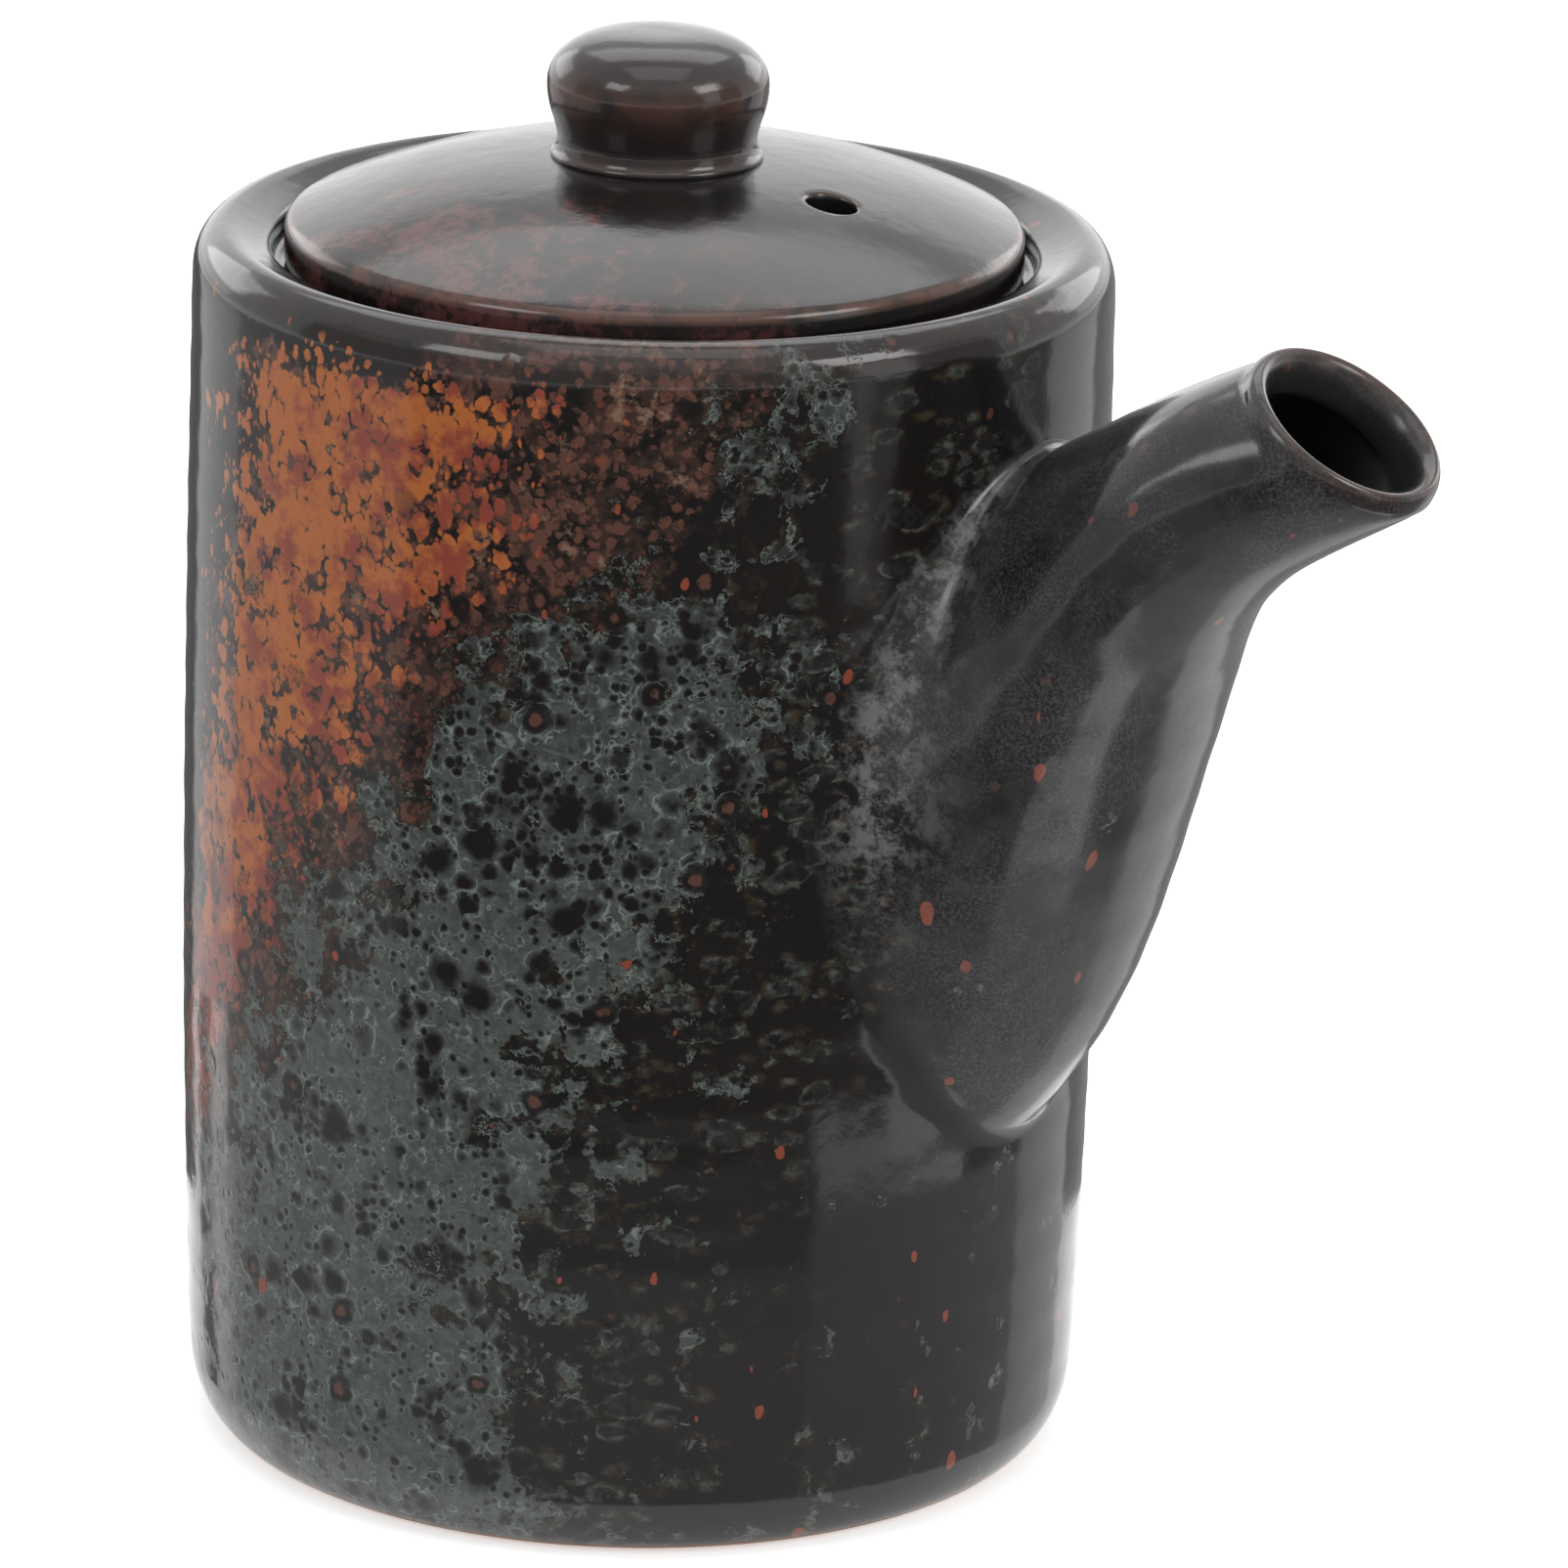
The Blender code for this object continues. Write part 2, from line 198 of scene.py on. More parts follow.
class Patch:
    """Adds nodes to one tree, of a material or of Geometry Nodes."""

    def __init__(self, tree: bpy.types.NodeTree) -> None:
        """Starts with an empty tree."""
        self.tree = tree
        tree.nodes.clear()

    def add(
        self,
        kind: str,
        settings: Optional[Mapping[str, object]] = None,
        links: Optional[Mapping[Union[str, int], Value]] = None,
        output: Union[str, int] = 0,
    ) -> Wire:
        """Adds any node.

        Args:
            kind: the node's type.
            settings: its properties, set before its sockets.
            links: values or wires for its inputs, by name or index.
            output: the output to return.

        Returns:
            That output, or the node's input 0 where it has no outputs.
        """
        node = self.tree.nodes.new(kind)
        for name, value in (settings or {}).items():
            setattr(node, name, value)
        for name, value in (links or {}).items():
            socket = node.inputs[name]
            if isinstance(value, Wire):
                self.tree.links.new(value.socket, socket)
            elif socket.type == "RGBA":
                socket.default_value = (*value[:3], 1.0)
            else:
                socket.default_value = value
        return Wire(self, node.outputs[output] if node.outputs else node.inputs[0])

    def sum(self, operation: str, first: Term, second: Term) -> Wire:
        """Adds a Math node, or a Vector Math node where a term is a vector."""
        terms = [term.socket.type for term in (first, second) if isinstance(term, Wire)]
        if "VECTOR" not in terms:
            return self.add("ShaderNodeMath", {"operation": operation}, {0: first, 1: second})
        if operation == "MULTIPLY" and not isinstance(second, Wire):
            return self.add(
                "ShaderNodeVectorMath", {"operation": "SCALE"}, {0: first, "Scale": second}
            )
        return self.add("ShaderNodeVectorMath", {"operation": operation}, {0: first, 1: second})

    def mix(self, share: Term, first: Value, second: Value) -> Wire:
        """Mixes two colours.

        Args:
            share: how much of the second.
            first: a colour or a wire.
            second: a colour or a wire.

        Returns:
            The mixed colour.
        """
        return self.add("ShaderNodeMix", {"data_type": "RGBA"}, {0: share, 6: first, 7: second}, 2)

    def noise(
        self, place: Wire, size: float, detail: float = 3.0, rough: float = 0.5, seed: Term = 0.0
    ) -> Wire:
        """Noise between about 0.25 and 0.75, with lumps of about the given size."""
        settings = {"noise_dimensions": "4D"}
        values = {"Vector": place, "W": seed, "Scale": 1 / size, "Detail": detail, "Roughness": rough}
        return self.add("ShaderNodeTexNoise", settings, values)

    def wander(self, place: Wire, size: float, reach: float, detail: float = 2.0) -> Wire:
        """The place, pushed about by up to the reach in lumps of the given size."""
        values = {"Vector": place, "Scale": 1 / size, "Detail": detail}
        push = self.add("ShaderNodeTexNoise", None, values, "Color")
        half = self.add("ShaderNodeVectorMath", {"operation": "SUBTRACT"}, {0: push, 1: (0.5,) * 3})
        return place + half * (2 * reach)

    def cells(self, place: Wire, size: float) -> tuple[Wire, Wire]:
        """Rounded cells of about the given size.

        Args:
            place: where to look them up.
            size: width of a cell.

        Returns:
            The distance from the cell's middle as a share of the size, and the cell's own
            random value.
        """
        values = {"Vector": place, "Scale": 1 / size, "Randomness": 1.0}
        distance = self.add("ShaderNodeTexVoronoi", {"feature": "F1"}, values, "Distance")
        colour = Wire(self, distance.socket.node.outputs["Color"])
        return distance, self.add("ShaderNodeSeparateColor", None, {0: colour})

    def seams(self, place: Wire, size: float) -> Wire:
        """Distance from the seams between cells, as a share of their size."""
        values = {"Vector": place, "Scale": 1 / size, "Randomness": 1.0}
        return self.add("ShaderNodeTexVoronoi", {"feature": "DISTANCE_TO_EDGE"}, values, "Distance")

    def split(self, place: Wire) -> tuple[Wire, Wire, Wire]:
        """A place's x, y and height."""
        x = self.add("ShaderNodeSeparateXYZ", None, {0: place}, "X")
        outputs = x.socket.node.outputs
        return x, Wire(self, outputs["Y"]), Wire(self, outputs["Z"])

    def attribute(self, mark: Mark) -> Wire:
        """Reads one of the mesh's own attributes in a material."""
        return self.add("ShaderNodeAttribute", {"attribute_name": mark.value}, None, "Fac")


# ---------------------------------------------------------------- meshes


class Outline:
    """The profile of a turned piece, as rows of radius, height, relief and wear."""

    def __init__(self, radius: float, height: float) -> None:
        """Starts at a point, usually on the axis."""
        self.rows: list[tuple[float, float, float, float]] = [(radius, height, 0.0, 0.0)]

    def point(self, radius: float, height: float, relief: float = 0.0, worn: float = 0.0) -> None:
        """Adds one row."""
        self.rows.append((radius, height, relief, worn))

    def line(
        self, radius: float, height: float, relief: float = 0.0, worn: float = 0.0, step: float = 1.3
    ) -> None:
        """Goes straight to a point in equal steps."""
        start = np.array(self.rows[-1][:2])
        end = np.array((radius, height))
        steps = max(1, math.ceil(np.linalg.norm(end - start) / step))
        for share in shares(steps):
            self.point(*(start + (end - start) * share), relief, worn)

    def bend(
        self,
        corner: tuple[float, float],
        following: tuple[float, float],
        size: float,
        relief: float = 0.0,
        worn: float = 0.0,
        steps: int = 5,
    ) -> None:
        """Goes straight towards a corner and rounds it towards the following point."""
        middle = np.array(corner)
        back = np.array(self.rows[-1][:2]) - middle
        back *= size / np.linalg.norm(back)
        onward = np.array(following) - middle
        onward *= size / np.linalg.norm(onward)
        self.line(*(middle + back), relief)
        for share in shares(steps):
            place = middle + back * (1 - share) ** 2 + onward * share**2
            self.point(*place, relief, worn * 4 * share * (1 - share))

    def arc(
        self,
        centre: tuple[float, float],
        radii: tuple[float, float],
        turn: tuple[float, float],
        steps: int,
        relief: float = 0.0,
        worn: float = 0.0,
    ) -> None:
        """Adds an elliptical arc between two angles in degrees, worn most in its middle."""
        for share in shares(steps):
            angle = math.radians(turn[0] + (turn[1] - turn[0]) * share)
            radius = centre[0] + radii[0] * math.cos(angle)
            height = centre[1] + radii[1] * math.sin(angle)
            self.point(radius, height, relief, worn * math.sin(math.pi * share))

    def row_at(self, height: float, start: int = 0) -> int:
        """The first row from start on whose height is nearest the one given."""
        heights = np.array([row[1] for row in self.rows[start:]])
        return start + int(np.argmin(abs(heights - height)))


@dataclass(frozen=True)
class Window:
    """A rectangle left out of a turned surface, centred on +X, for other rings to be sewn into."""

    first_row: int
    last_row: int
    half_columns: int

    def loop(self, table: np.ndarray) -> np.ndarray:
        """Walks the edge from the middle of the first row, towards +Y first.

        Args:
            table: point numbers by row and column.

        Returns:
            The point numbers in order.
        """
        step = 1 if self.last_row > self.first_row else -1
        rows = range(self.first_row, self.last_row, step)
        half = self.half_columns
        path = [(self.first_row, column) for column in range(0, half)]
        path += [(row, half) for row in rows]
        path += [(self.last_row, column) for column in range(half, -half, -1)]
        path += [(row, -half) for row in reversed(range(self.first_row + step, self.last_row + step, step))]
        path += [(self.first_row, column) for column in range(-half, 0)]
        return np.array([table[row, column] for row, column in path])

    def angles(self) -> np.ndarray:
        """The angle of each of the loop's points from the middle of the first row."""
        height = abs(self.last_row - self.first_row)
        half = self.half_columns
        across = np.concatenate([
            np.arange(0, half), np.full(height, half), np.arange(half, -half, -1),
            np.full(height, -half), np.arange(-half, 0),
        ]) / half
        down = np.concatenate([
            np.zeros(half), np.arange(0, height), np.full(2 * half, height),
            np.arange(height, 0, -1), np.zeros(half),
        ]) / height
        return np.unwrap(np.arctan2(across, 1 - 2 * down))


class Surface:
    """Points, faces and marks of one closed skin."""

    def __init__(self) -> None:
        """Starts empty."""
        self.points: list[np.ndarray] = []
        self.marks: list[np.ndarray] = []
        self.faces: list[tuple[int, ...]] = []
        self.count = 0

    def ring(
        self,
        points: np.ndarray,
        relief: float = 1.0,
        worn: float = 0.0,
        pooled: float = 0.0,
        bored: float = 0.0,
    ) -> np.ndarray:
        """Adds points that share their marks.

        Args:
            points: one row of x, y and z for each.
            relief: how far the relief moves them, 0 to 1.
            worn: how thin the glaze lies, 0 to 1.
            pooled: how thick it lies, 0 to 1.
            bored: 1 inside the spout.

        Returns:
            Their numbers.
        """
        points = np.atleast_2d(points)
        self.points.append(points)
        self.marks.append(np.tile((relief, worn, pooled, bored), (len(points), 1)))
        self.count += len(points)
        return np.arange(self.count - len(points), self.count)

    def sew(self, near: np.ndarray, far: np.ndarray) -> None:
        """Joins two closed rings of equal length with faces, and a ring to a pole with triangles."""
        for a, b, c, d in zip(near, far, np.roll(far, -1), np.roll(near, -1)):
            corners = dict.fromkeys((int(a), int(b), int(c), int(d)))
            self.faces.append(tuple(corners))

    def sew_all(self, rings: Sequence[np.ndarray]) -> None:
        """Sews each ring to the next."""
        for near, far in zip(rings, rings[1:]):
            self.sew(near, far)

    def turn(self, outline: Outline, columns: int, windows: Sequence[Window] = ()) -> np.ndarray:
        """Turns an outline about the axis.

        Args:
            outline: rows from the axis outwards and back to it.
            columns: points in each turned row.
            windows: rectangles to leave open.

        Returns:
            Point numbers by row and column, with -1 inside a window.
        """
        angles = math.tau * np.arange(columns) / columns
        table = np.full((len(outline.rows), columns), -1)
        for row, (radius, height, relief, worn) in enumerate(outline.rows):
            if radius < ON_AXIS:
                table[row] = self.ring(np.array((0.0, 0.0, height)), relief, worn)[0]
                continue
            wanted = np.ones(columns, bool)
            for window in windows:
                if window.first_row < row < window.last_row or window.last_row < row < window.first_row:
                    wanted[: window.half_columns] = False
                    wanted[columns - window.half_columns + 1 :] = False
            turned = angles[wanted]
            level = np.full(len(turned), height)
            places = np.stack([radius * np.cos(turned), radius * np.sin(turned), level], 1)
            table[row, wanted] = self.ring(places, relief, worn)
        for lower, upper in zip(table, table[1:]):
            for column in range(columns):
                following = (column + 1) % columns
                corners = (lower[column], lower[following], upper[following], upper[column])
                if min(corners) >= 0:
                    self.faces.append(tuple(dict.fromkeys(int(corner) for corner in corners)))
        return table

    def to_object(self, name: str) -> bpy.types.Object:
        """Makes the mesh object, in metres, with its marks as point attributes.

        Args:
            name: the piece's name.

        Returns:
            The linked object.
        """
        mesh = bpy.data.meshes.new(name)
        mesh.from_pydata((np.concatenate(self.points) * MM).tolist(), [], self.faces)
        for mark, values in zip(Mark, np.concatenate(self.marks).T):
            layer = mesh.attributes.new(mark.value, "FLOAT", "POINT")
            layer.data.foreach_set("value", values.astype(np.float32))
        mesh.update()
        return stand(name, mesh)


@dataclass(frozen=True)
class Throwing:
    """The slight unevenness of a thrown and glazed wall."""

    ring_depth: float = 0.03
    ring_pitch: float = 5.5
    swell_depth: float = 0.10
    swell_size: float = 16.0
    peel_depth: float = 0.012
    peel_size: float = 3.2
    sway_size: float = 22.0
    sway_reach: float = 6.0
    seed: int = 4

    def sizes(self) -> dict[str, float]:
        """The tree's inputs, by name."""
        return {
            "Ring depth": self.ring_depth,
            "Ring pitch": self.ring_pitch,
            "Swell depth": self.swell_depth,
            "Swell size": self.swell_size,
            "Peel depth": self.peel_depth,
            "Peel size": self.peel_size,
            "Seed": float(self.seed),
        }

    def tree(self) -> bpy.types.NodeTree:
        """Builds the Geometry Nodes tree that moves a skin along its normals.

        Returns:
            The tree, with one named input for each size.
        """
        group = bpy.data.node_groups.new("thrown_relief", "GeometryNodeTree")
        group.interface.new_socket("Skin", in_out="INPUT", socket_type="NodeSocketGeometry")
        for label in self.sizes():
            group.interface.new_socket(label, in_out="INPUT", socket_type="NodeSocketFloat")
        group.interface.new_socket("Glaze", in_out="INPUT", socket_type="NodeSocketMaterial")
        group.interface.new_socket("Skin", in_out="OUTPUT", socket_type="NodeSocketGeometry")
        patch = Patch(group)
        skin = patch.add("NodeGroupInput")
        given = {socket.name: Wire(patch, socket) for socket in skin.socket.node.outputs}
        place = patch.add("GeometryNodeInputPosition") * (1 / MM)
        height = patch.add("ShaderNodeSeparateXYZ", None, {0: place}, "Z")
        mark = patch.add(
            "GeometryNodeInputNamedAttribute", {"data_type": "FLOAT"}, {"Name": Mark.RELIEF.value}
        )
        sway = patch.noise(place, self.sway_size, 1.0, seed=given["Seed"]) * self.sway_reach
        rings = patch.sum("SINE", (height + sway) / given["Ring pitch"] * math.tau, 0.0)
        offset = rings * given["Ring depth"]
        for kind, shift in (("Swell", 3.0), ("Peel", 9.0)):
            values = {"Vector": place, "W": given["Seed"] + shift, "Detail": 1.0}
            values["Scale"] = 1.0 / given[kind + " size"]
            lumps = patch.add("ShaderNodeTexNoise", {"noise_dimensions": "4D"}, values)
            offset = offset + (lumps - 0.5) * given[kind + " depth"] * 2.0
        push = patch.add(
            "ShaderNodeVectorMath",
            {"operation": "SCALE"},
            {0: patch.add("GeometryNodeInputNormal"), "Scale": offset * mark * MM},
        )
        moved = patch.add("GeometryNodeSetPosition", None, {"Geometry": given["Skin"], "Offset": push})
        smooth = patch.add("GeometryNodeSetShadeSmooth", None, {0: moved})
        real = patch.add("GeometryNodeRealizeInstances", None, {0: smooth})
        dressed = patch.add("GeometryNodeSetMaterial", None, {0: real, "Material": given["Glaze"]})
        patch.add("NodeGroupOutput", None, {0: dressed})
        return group

    def shape(self, skin: bpy.types.Object, glaze: bpy.types.Material) -> None:
        """Applies the relief and the glaze to a piece, and leaves it a plain mesh.

        Args:
            skin: the piece.
            glaze: its material.
        """
        modifier = skin.modifiers.new("relief", "NODES")
        modifier.node_group = self.tree()
        chosen = {**self.sizes(), "Glaze": glaze}
        for socket in modifier.node_group.interface.items_tree:
            if socket.in_out == "INPUT" and socket.name in chosen:
                modifier[socket.identifier] = chosen[socket.name]
        evaluated = skin.evaluated_get(bpy.context.evaluated_depsgraph_get())
        plain = bpy.data.meshes.new_from_object(evaluated)
        plain.name = skin.name
        skin.modifiers.clear()
        skin.data = plain


# ---------------------------------------------------------------- glazes


@dataclass(frozen=True)
class Glaze:
    """What the kiln's glazes share: a glassy skin over dark iron, broken thin on edges."""

    name: str
    black: Colour = tone(13, 11, 11)
    thin: Colour = tone(70, 38, 30)
    clay: Colour = tone(150, 112, 88)
    clay_grit: Colour = tone(108, 76, 58)
    gloss: float = 0.11
    bare_below: float = 0.7

    def start(self) -> tuple[bpy.types.Material, Patch, Wire]:
        """Makes the material.

        Returns:
            The material, a patch on its tree, and the place on the piece in millimetres.
        """
        material, patch = begin_material(self.name)
        place = patch.add("ShaderNodeTexCoord", None, None, "Object") * (1 / MM)
        return material, patch, place

    def finish(self, patch: Patch, colour: Wire, roughness: Wire, relief: Wire) -> None:
        """Adds the shader.

        Args:
            patch: the material's patch.
            colour: the glaze's colour.
            roughness: its roughness.
            relief: the height of its fine relief, in millimetres.
        """
        bump = patch.add("ShaderNodeBump", None, {"Strength": 1.0, "Distance": MM, "Height": relief})
        shader = patch.add(
            "ShaderNodeBsdfPrincipled",
            None,
            {"Base Color": colour, "Roughness": roughness, "Normal": bump, "IOR": 1.55},
        )
        patch.add("ShaderNodeOutputMaterial", None, {"Surface": shader})

    def bare(self, patch: Patch, place: Wire, height: Wire) -> Wire:
        """Where the foot is left unglazed: 1 on bare clay."""
        edge = height - patch.noise(place, 9.0, 2.0) * 0.8
        return edge.rise(self.bare_below - 0.35, self.bare_below - 0.55)


@dataclass(frozen=True)
class PotGlaze(Glaze):
    """Black glaze with an orange rust field, a blue-grey web and scattered rust specks."""

    orange: Colour = tone(138, 77, 36)
    red: Colour = tone(108, 48, 35)
    brown: Colour = tone(46, 31, 26)
    rose: Colour = tone(76, 48, 39)
    tan: Colour = tone(104, 82, 66)
    slate: Colour = tone(64, 69, 66)
    shade: Colour = tone(35, 38, 36)
    thread: Colour = tone(94, 103, 99)
    pit: Colour = tone(13, 10, 9)
    olive: Colour = tone(46, 38, 26)
    fleck: Colour = tone(108, 50, 34)
    # pale matte glaze where it pools, lightened further as a painted sheen
    mist_and_sheen: Colour = tone(98, 97, 98)
    # grey haze in the glaze on the spout, lightened further as a painted sheen
    haze_and_sheen: Colour = tone(48, 47, 48)
    rust_height: float = 40.0  # where the rust field has the bearing and half width below
    rust_bearing: float = -71.0
    rust_lean: float = 0.57  # degrees for each millimetre up
    rust_reach: float = 8.0
    rust_spread: float = 0.25
    web_height: float = 30.0  # where the blue-grey web has the bearing below
    web_bearing: float = -38.0
    web_lean: float = 0.74
    web_reach: float = 30.0
    blotch_size: float = 1.5
    vein_size: float = 2.1
    island_size: float = 2.7
    heart_size: float = 6.0
    fleck_size: float = 4.2

    def bearing(self, patch: Patch, place: Wire) -> tuple[Wire, Wire]:
        """Angle in degrees from the front of the pot, towards the spout's side, and the height."""
        front = math.radians(-SPOUT_BEARING)
        x, y, height = patch.split(place)
        ahead = x * math.cos(front) + y * math.sin(front)
        aside = y * math.cos(front) - x * math.sin(front)
        return patch.sum("ARCTAN2", aside, ahead) * math.degrees(1.0), height

    def rust_field(self, patch: Patch, place: Wire, bearing: Wire, height: Wire) -> tuple[Wire, Wire]:
        """The leaning orange band on the left.

        Returns:
            How dense its blotches are, 0 to 1, and how far across it a point lies.
        """
        above = height - self.rust_height
        centre = above * self.rust_lean + self.rust_bearing
        reach = (above * self.rust_spread + self.rust_reach).most(5.0)
        ragged = (patch.noise(place, 11.0, 4.0, 0.6, 2.0) - 0.5) * 1.6
        across = (bearing - centre) / reach
        dense = abs(across + ragged).rise(1.65, 0.25) * height.rise(14.0, 42.0) * height.rise(108.0, 100.0)
        return dense, across

    def stretch(self, patch: Patch, place: Wire, level: float, upright: float) -> Wire:
        """The place, scaled sideways and upright."""
        scales = {0: place, 1: (level, level, upright)}
        return patch.add("ShaderNodeVectorMath", {"operation": "MULTIPLY"}, scales)

    def blotches(self, patch: Patch, place: Wire, dense: Wire) -> Wire:
        """Small rounded blotches, run together where they are dense, with dark gaps between them."""
        loose = patch.wander(self.stretch(patch, place, 1.0, 0.75), 1.5, 0.5, 3.0)
        clump = (patch.noise(place, 3.4, 5.0, 0.62, 23.0) - 0.5) * 1.7
        cover = dense * 0.60 + clump
        big, big_random = patch.cells(loose, self.blotch_size)
        small, small_random = patch.cells(loose, self.blotch_size / 2)
        large = (cover + big_random * 0.2 - big).rise(0.0, 0.10)
        fine = (cover * 0.8 + dense * 0.12 - 0.10 + small_random * 0.3 - small).rise(0.0, 0.16)
        return large.most(fine * 0.9) * dense.rise(0.03, 0.16)

    def field_ground(self, patch: Patch, place: Wire, fine: Wire) -> Wire:
        """The mottled brown, rose and tan ground under and beside the rust field."""
        mottle = patch.noise(patch.wander(place, 3.0, 2.0), 2.4, 5.0, 0.65, 3.0)
        cell, random = patch.cells(patch.wander(place, 1.2, 0.5, 3.0), 1.0)
        ground = patch.mix(mottle.rise(0.40, 0.58), self.pit, self.brown)
        spots = (random * 0.4 + 0.32 - cell + (mottle - 0.5) * 1.6).rise(0.0, 0.14)
        ground = patch.mix(spots * fine.rise(0.30, 0.50) * 0.9, ground, self.rose)
        tan = patch.noise(place, 4.5, 5.0, 0.7, 12.0).rise(0.555, 0.63) * fine.rise(0.44, 0.58)
        return patch.mix(tan * 0.9, ground, self.tan)

    def pits(self, patch: Patch, place: Wire, crowd: Wire) -> Wire:
        """How deep inside a round pit a point lies: pits of three sizes, crowded in places."""
        loose = patch.wander(place, 1.3, 0.35, 4.0)
        deepest: Optional[Wire] = None
        for size, reach, lean in ((3.6, 0.62, 0.36), (1.9, 0.60, 0.30), (0.95, 0.52, 0.24)):
            cell, random = patch.cells(loose, size)
            depth = random * reach + (crowd - 0.5) * 1.5 - lean - cell + 0.16
            deepest = depth if deepest is None else deepest.most(depth)
        return deepest

    def build(self) -> bpy.types.Material:
        """Builds the material.

        Returns:
            The material, for the pot and its spout.
        """
        material, patch, place = self.start()
        bearing, height = self.bearing(patch, place)
        cloud = patch.noise(place, 26.0, 3.0, 0.55, 5.0)
        fine = patch.noise(place, 1.0, 4.0, 0.65, 7.0)
        colour = patch.mix(cloud.rise(0.45, 0.65) * 0.12, self.black, self.brown)

        # the rust field, and the mottled ground beside it
        dense, across = self.rust_field(patch, place, bearing, height)
        beside = across.hill(1.30, 1.60) * height.rise(18.0, 40.0) * bearing.rise(30.0, 0.0)
        ground = self.field_ground(patch, place, fine)
        torn = patch.noise(place, 5.0, 5.0, 0.65, 27.0)
        under = (beside * 1.2 + dense * 0.9 + (torn - 0.5) * 1.6).rise(0.35, 0.60)
        colour = patch.mix(under, colour, ground)
        blotch = self.blotches(patch, place, dense)
        warm = patch.noise(place, 4.0, 5.0, 0.65, 8.0) + across * 0.06 + height.rise(72.0, 36.0) * 0.16 - 0.07
        rust = patch.mix(warm.rise(0.40, 0.54), self.orange, self.red)
        rust = patch.mix(fine.rise(0.52, 0.72) * 0.6, rust, self.red)
        colour = patch.mix(blotch, colour, rust)

        # the blue-grey web, torn at its edges and eaten by soft pits
        centre = ((height - self.web_height) * self.web_lean + self.web_bearing).most(-40.0)
        off = (bearing - centre) / (self.web_reach - height.rise(58.0, 96.0) * 8.0)
        body = patch.noise(patch.wander(place, 4.0, 1.5), 4.2, 6.0, 0.68, 1.0)
        hold = off.hill(0.0, 1.6) * 0.29 + height.rise(60.0, 20.0) * 0.05 - height.rise(80.0, 94.0) * 0.16
        sheet = body + hold
        web = sheet.rise(0.655, 0.70)
        crowd = patch.noise(place, 5.5, 4.0, 0.6, 6.0) + height.rise(30.0, 80.0) * 0.06 - 0.025
        eaten = self.pits(patch, place, crowd)
        dark = eaten.rise(-0.18, 0.16)
        broken = patch.noise(place, 1.6, 4.0, 0.65, 11.0).rise(0.42, 0.60)
        rim = eaten.hill(-0.19, 0.07) * broken
        edge = patch.seams(patch.wander(place, 1.3, 0.6, 4.0), self.vein_size)
        vein = edge.rise(0.05, 0.0) * broken * (1.0 - dark)
        dim = fine.rise(0.36, 0.62) * 0.55 + height.rise(40.0, 85.0) * 0.35
        slate = patch.mix(dim.least(1.0), self.slate, self.shade)
        slate = patch.mix(rim.most(vein * 0.45), slate, self.thread)
        slate = patch.mix(dark, slate, self.pit)
        murk = patch.noise(place, 1.8, 5.0, 0.7, 21.0)
        bed = patch.mix(murk.rise(0.48, 0.66), self.pit, self.olive)
        colour = patch.mix(sheet.rise(0.56, 0.66) * 0.9, colour, bed)
        colour = patch.mix(web, colour, slate)
        colour = patch.mix(sheet.hill(0.665, 0.014) * broken * 0.8, colour, self.thread)

        # islands of it, drawn out level, adrift on the black beyond
        flat = patch.wander(self.stretch(patch, place, 0.72, 1.35), 1.6, 0.8, 4.0)
        isle, isle_random = patch.cells(flat, self.island_size)
        level = self.stretch(patch, place, 1.0, 0.0)
        reach = patch.add("ShaderNodeVectorMath", {"operation": "LENGTH"}, {0: level}, "Value")
        afloat = abs(off - 1.15).rise(0.95, 0.30) * (1.0 - web) * (1.0 - dense) * reach.rise(46.0, 42.0)
        isle = isle_random * 0.75 + afloat * 0.50 + (crowd - 0.5) * 0.9 - 0.50 - isle
        halo = isle.rise(-0.16, 0.0) * afloat
        bed = patch.mix(murk.rise(0.44, 0.60), self.pit, self.olive)
        colour = patch.mix(halo * 0.9, colour, bed)
        pale = patch.mix(fine.rise(0.42, 0.62), self.shade, self.slate)
        colour = patch.mix(isle.rise(-0.02, 0.10) * afloat * murk.rise(0.40, 0.56), colour, pale)
        colour = patch.mix(isle.rise(0.12, 0.24) * afloat * 0.8, colour, self.pit)

        # rust-hearted pits, wide apart
        heart, heart_random = patch.cells(patch.wander(place, 2.0, 0.7, 3.0), self.heart_size)
        heart = heart * (heart_random * 0.9 + 0.75)
        pitted = abs(off).rise(1.9, 1.3).most(beside) * heart_random.rise(0.28, 0.34)
        colour = patch.mix(heart.rise(0.30, 0.20) * pitted * 0.92, colour, self.pit)
        colour = patch.mix(heart.hill(0.31, 0.03) * pitted * web * broken * 0.7, colour, self.thread)
        colour = patch.mix(heart.rise(0.145, 0.09) * pitted * fine.rise(0.30, 0.50) * 0.85, colour, self.rose)

        # sparse flecks on the black
        sparse = patch.wander(self.stretch(patch, place, 1.3, 0.8), 1.5, 0.4)
        speck, speck_random = patch.cells(sparse, self.fleck_size)
        drift = patch.noise(place, 19.0, 2.0, 0.5, 14.0)
        sown = (speck_random * 0.24 - 0.10 - speck + drift.rise(0.48, 0.62) * 0.10).rise(0.0, 0.02)
        colour = patch.mix(sown * (1.0 - web) * (1.0 - dense), colour, self.fleck)
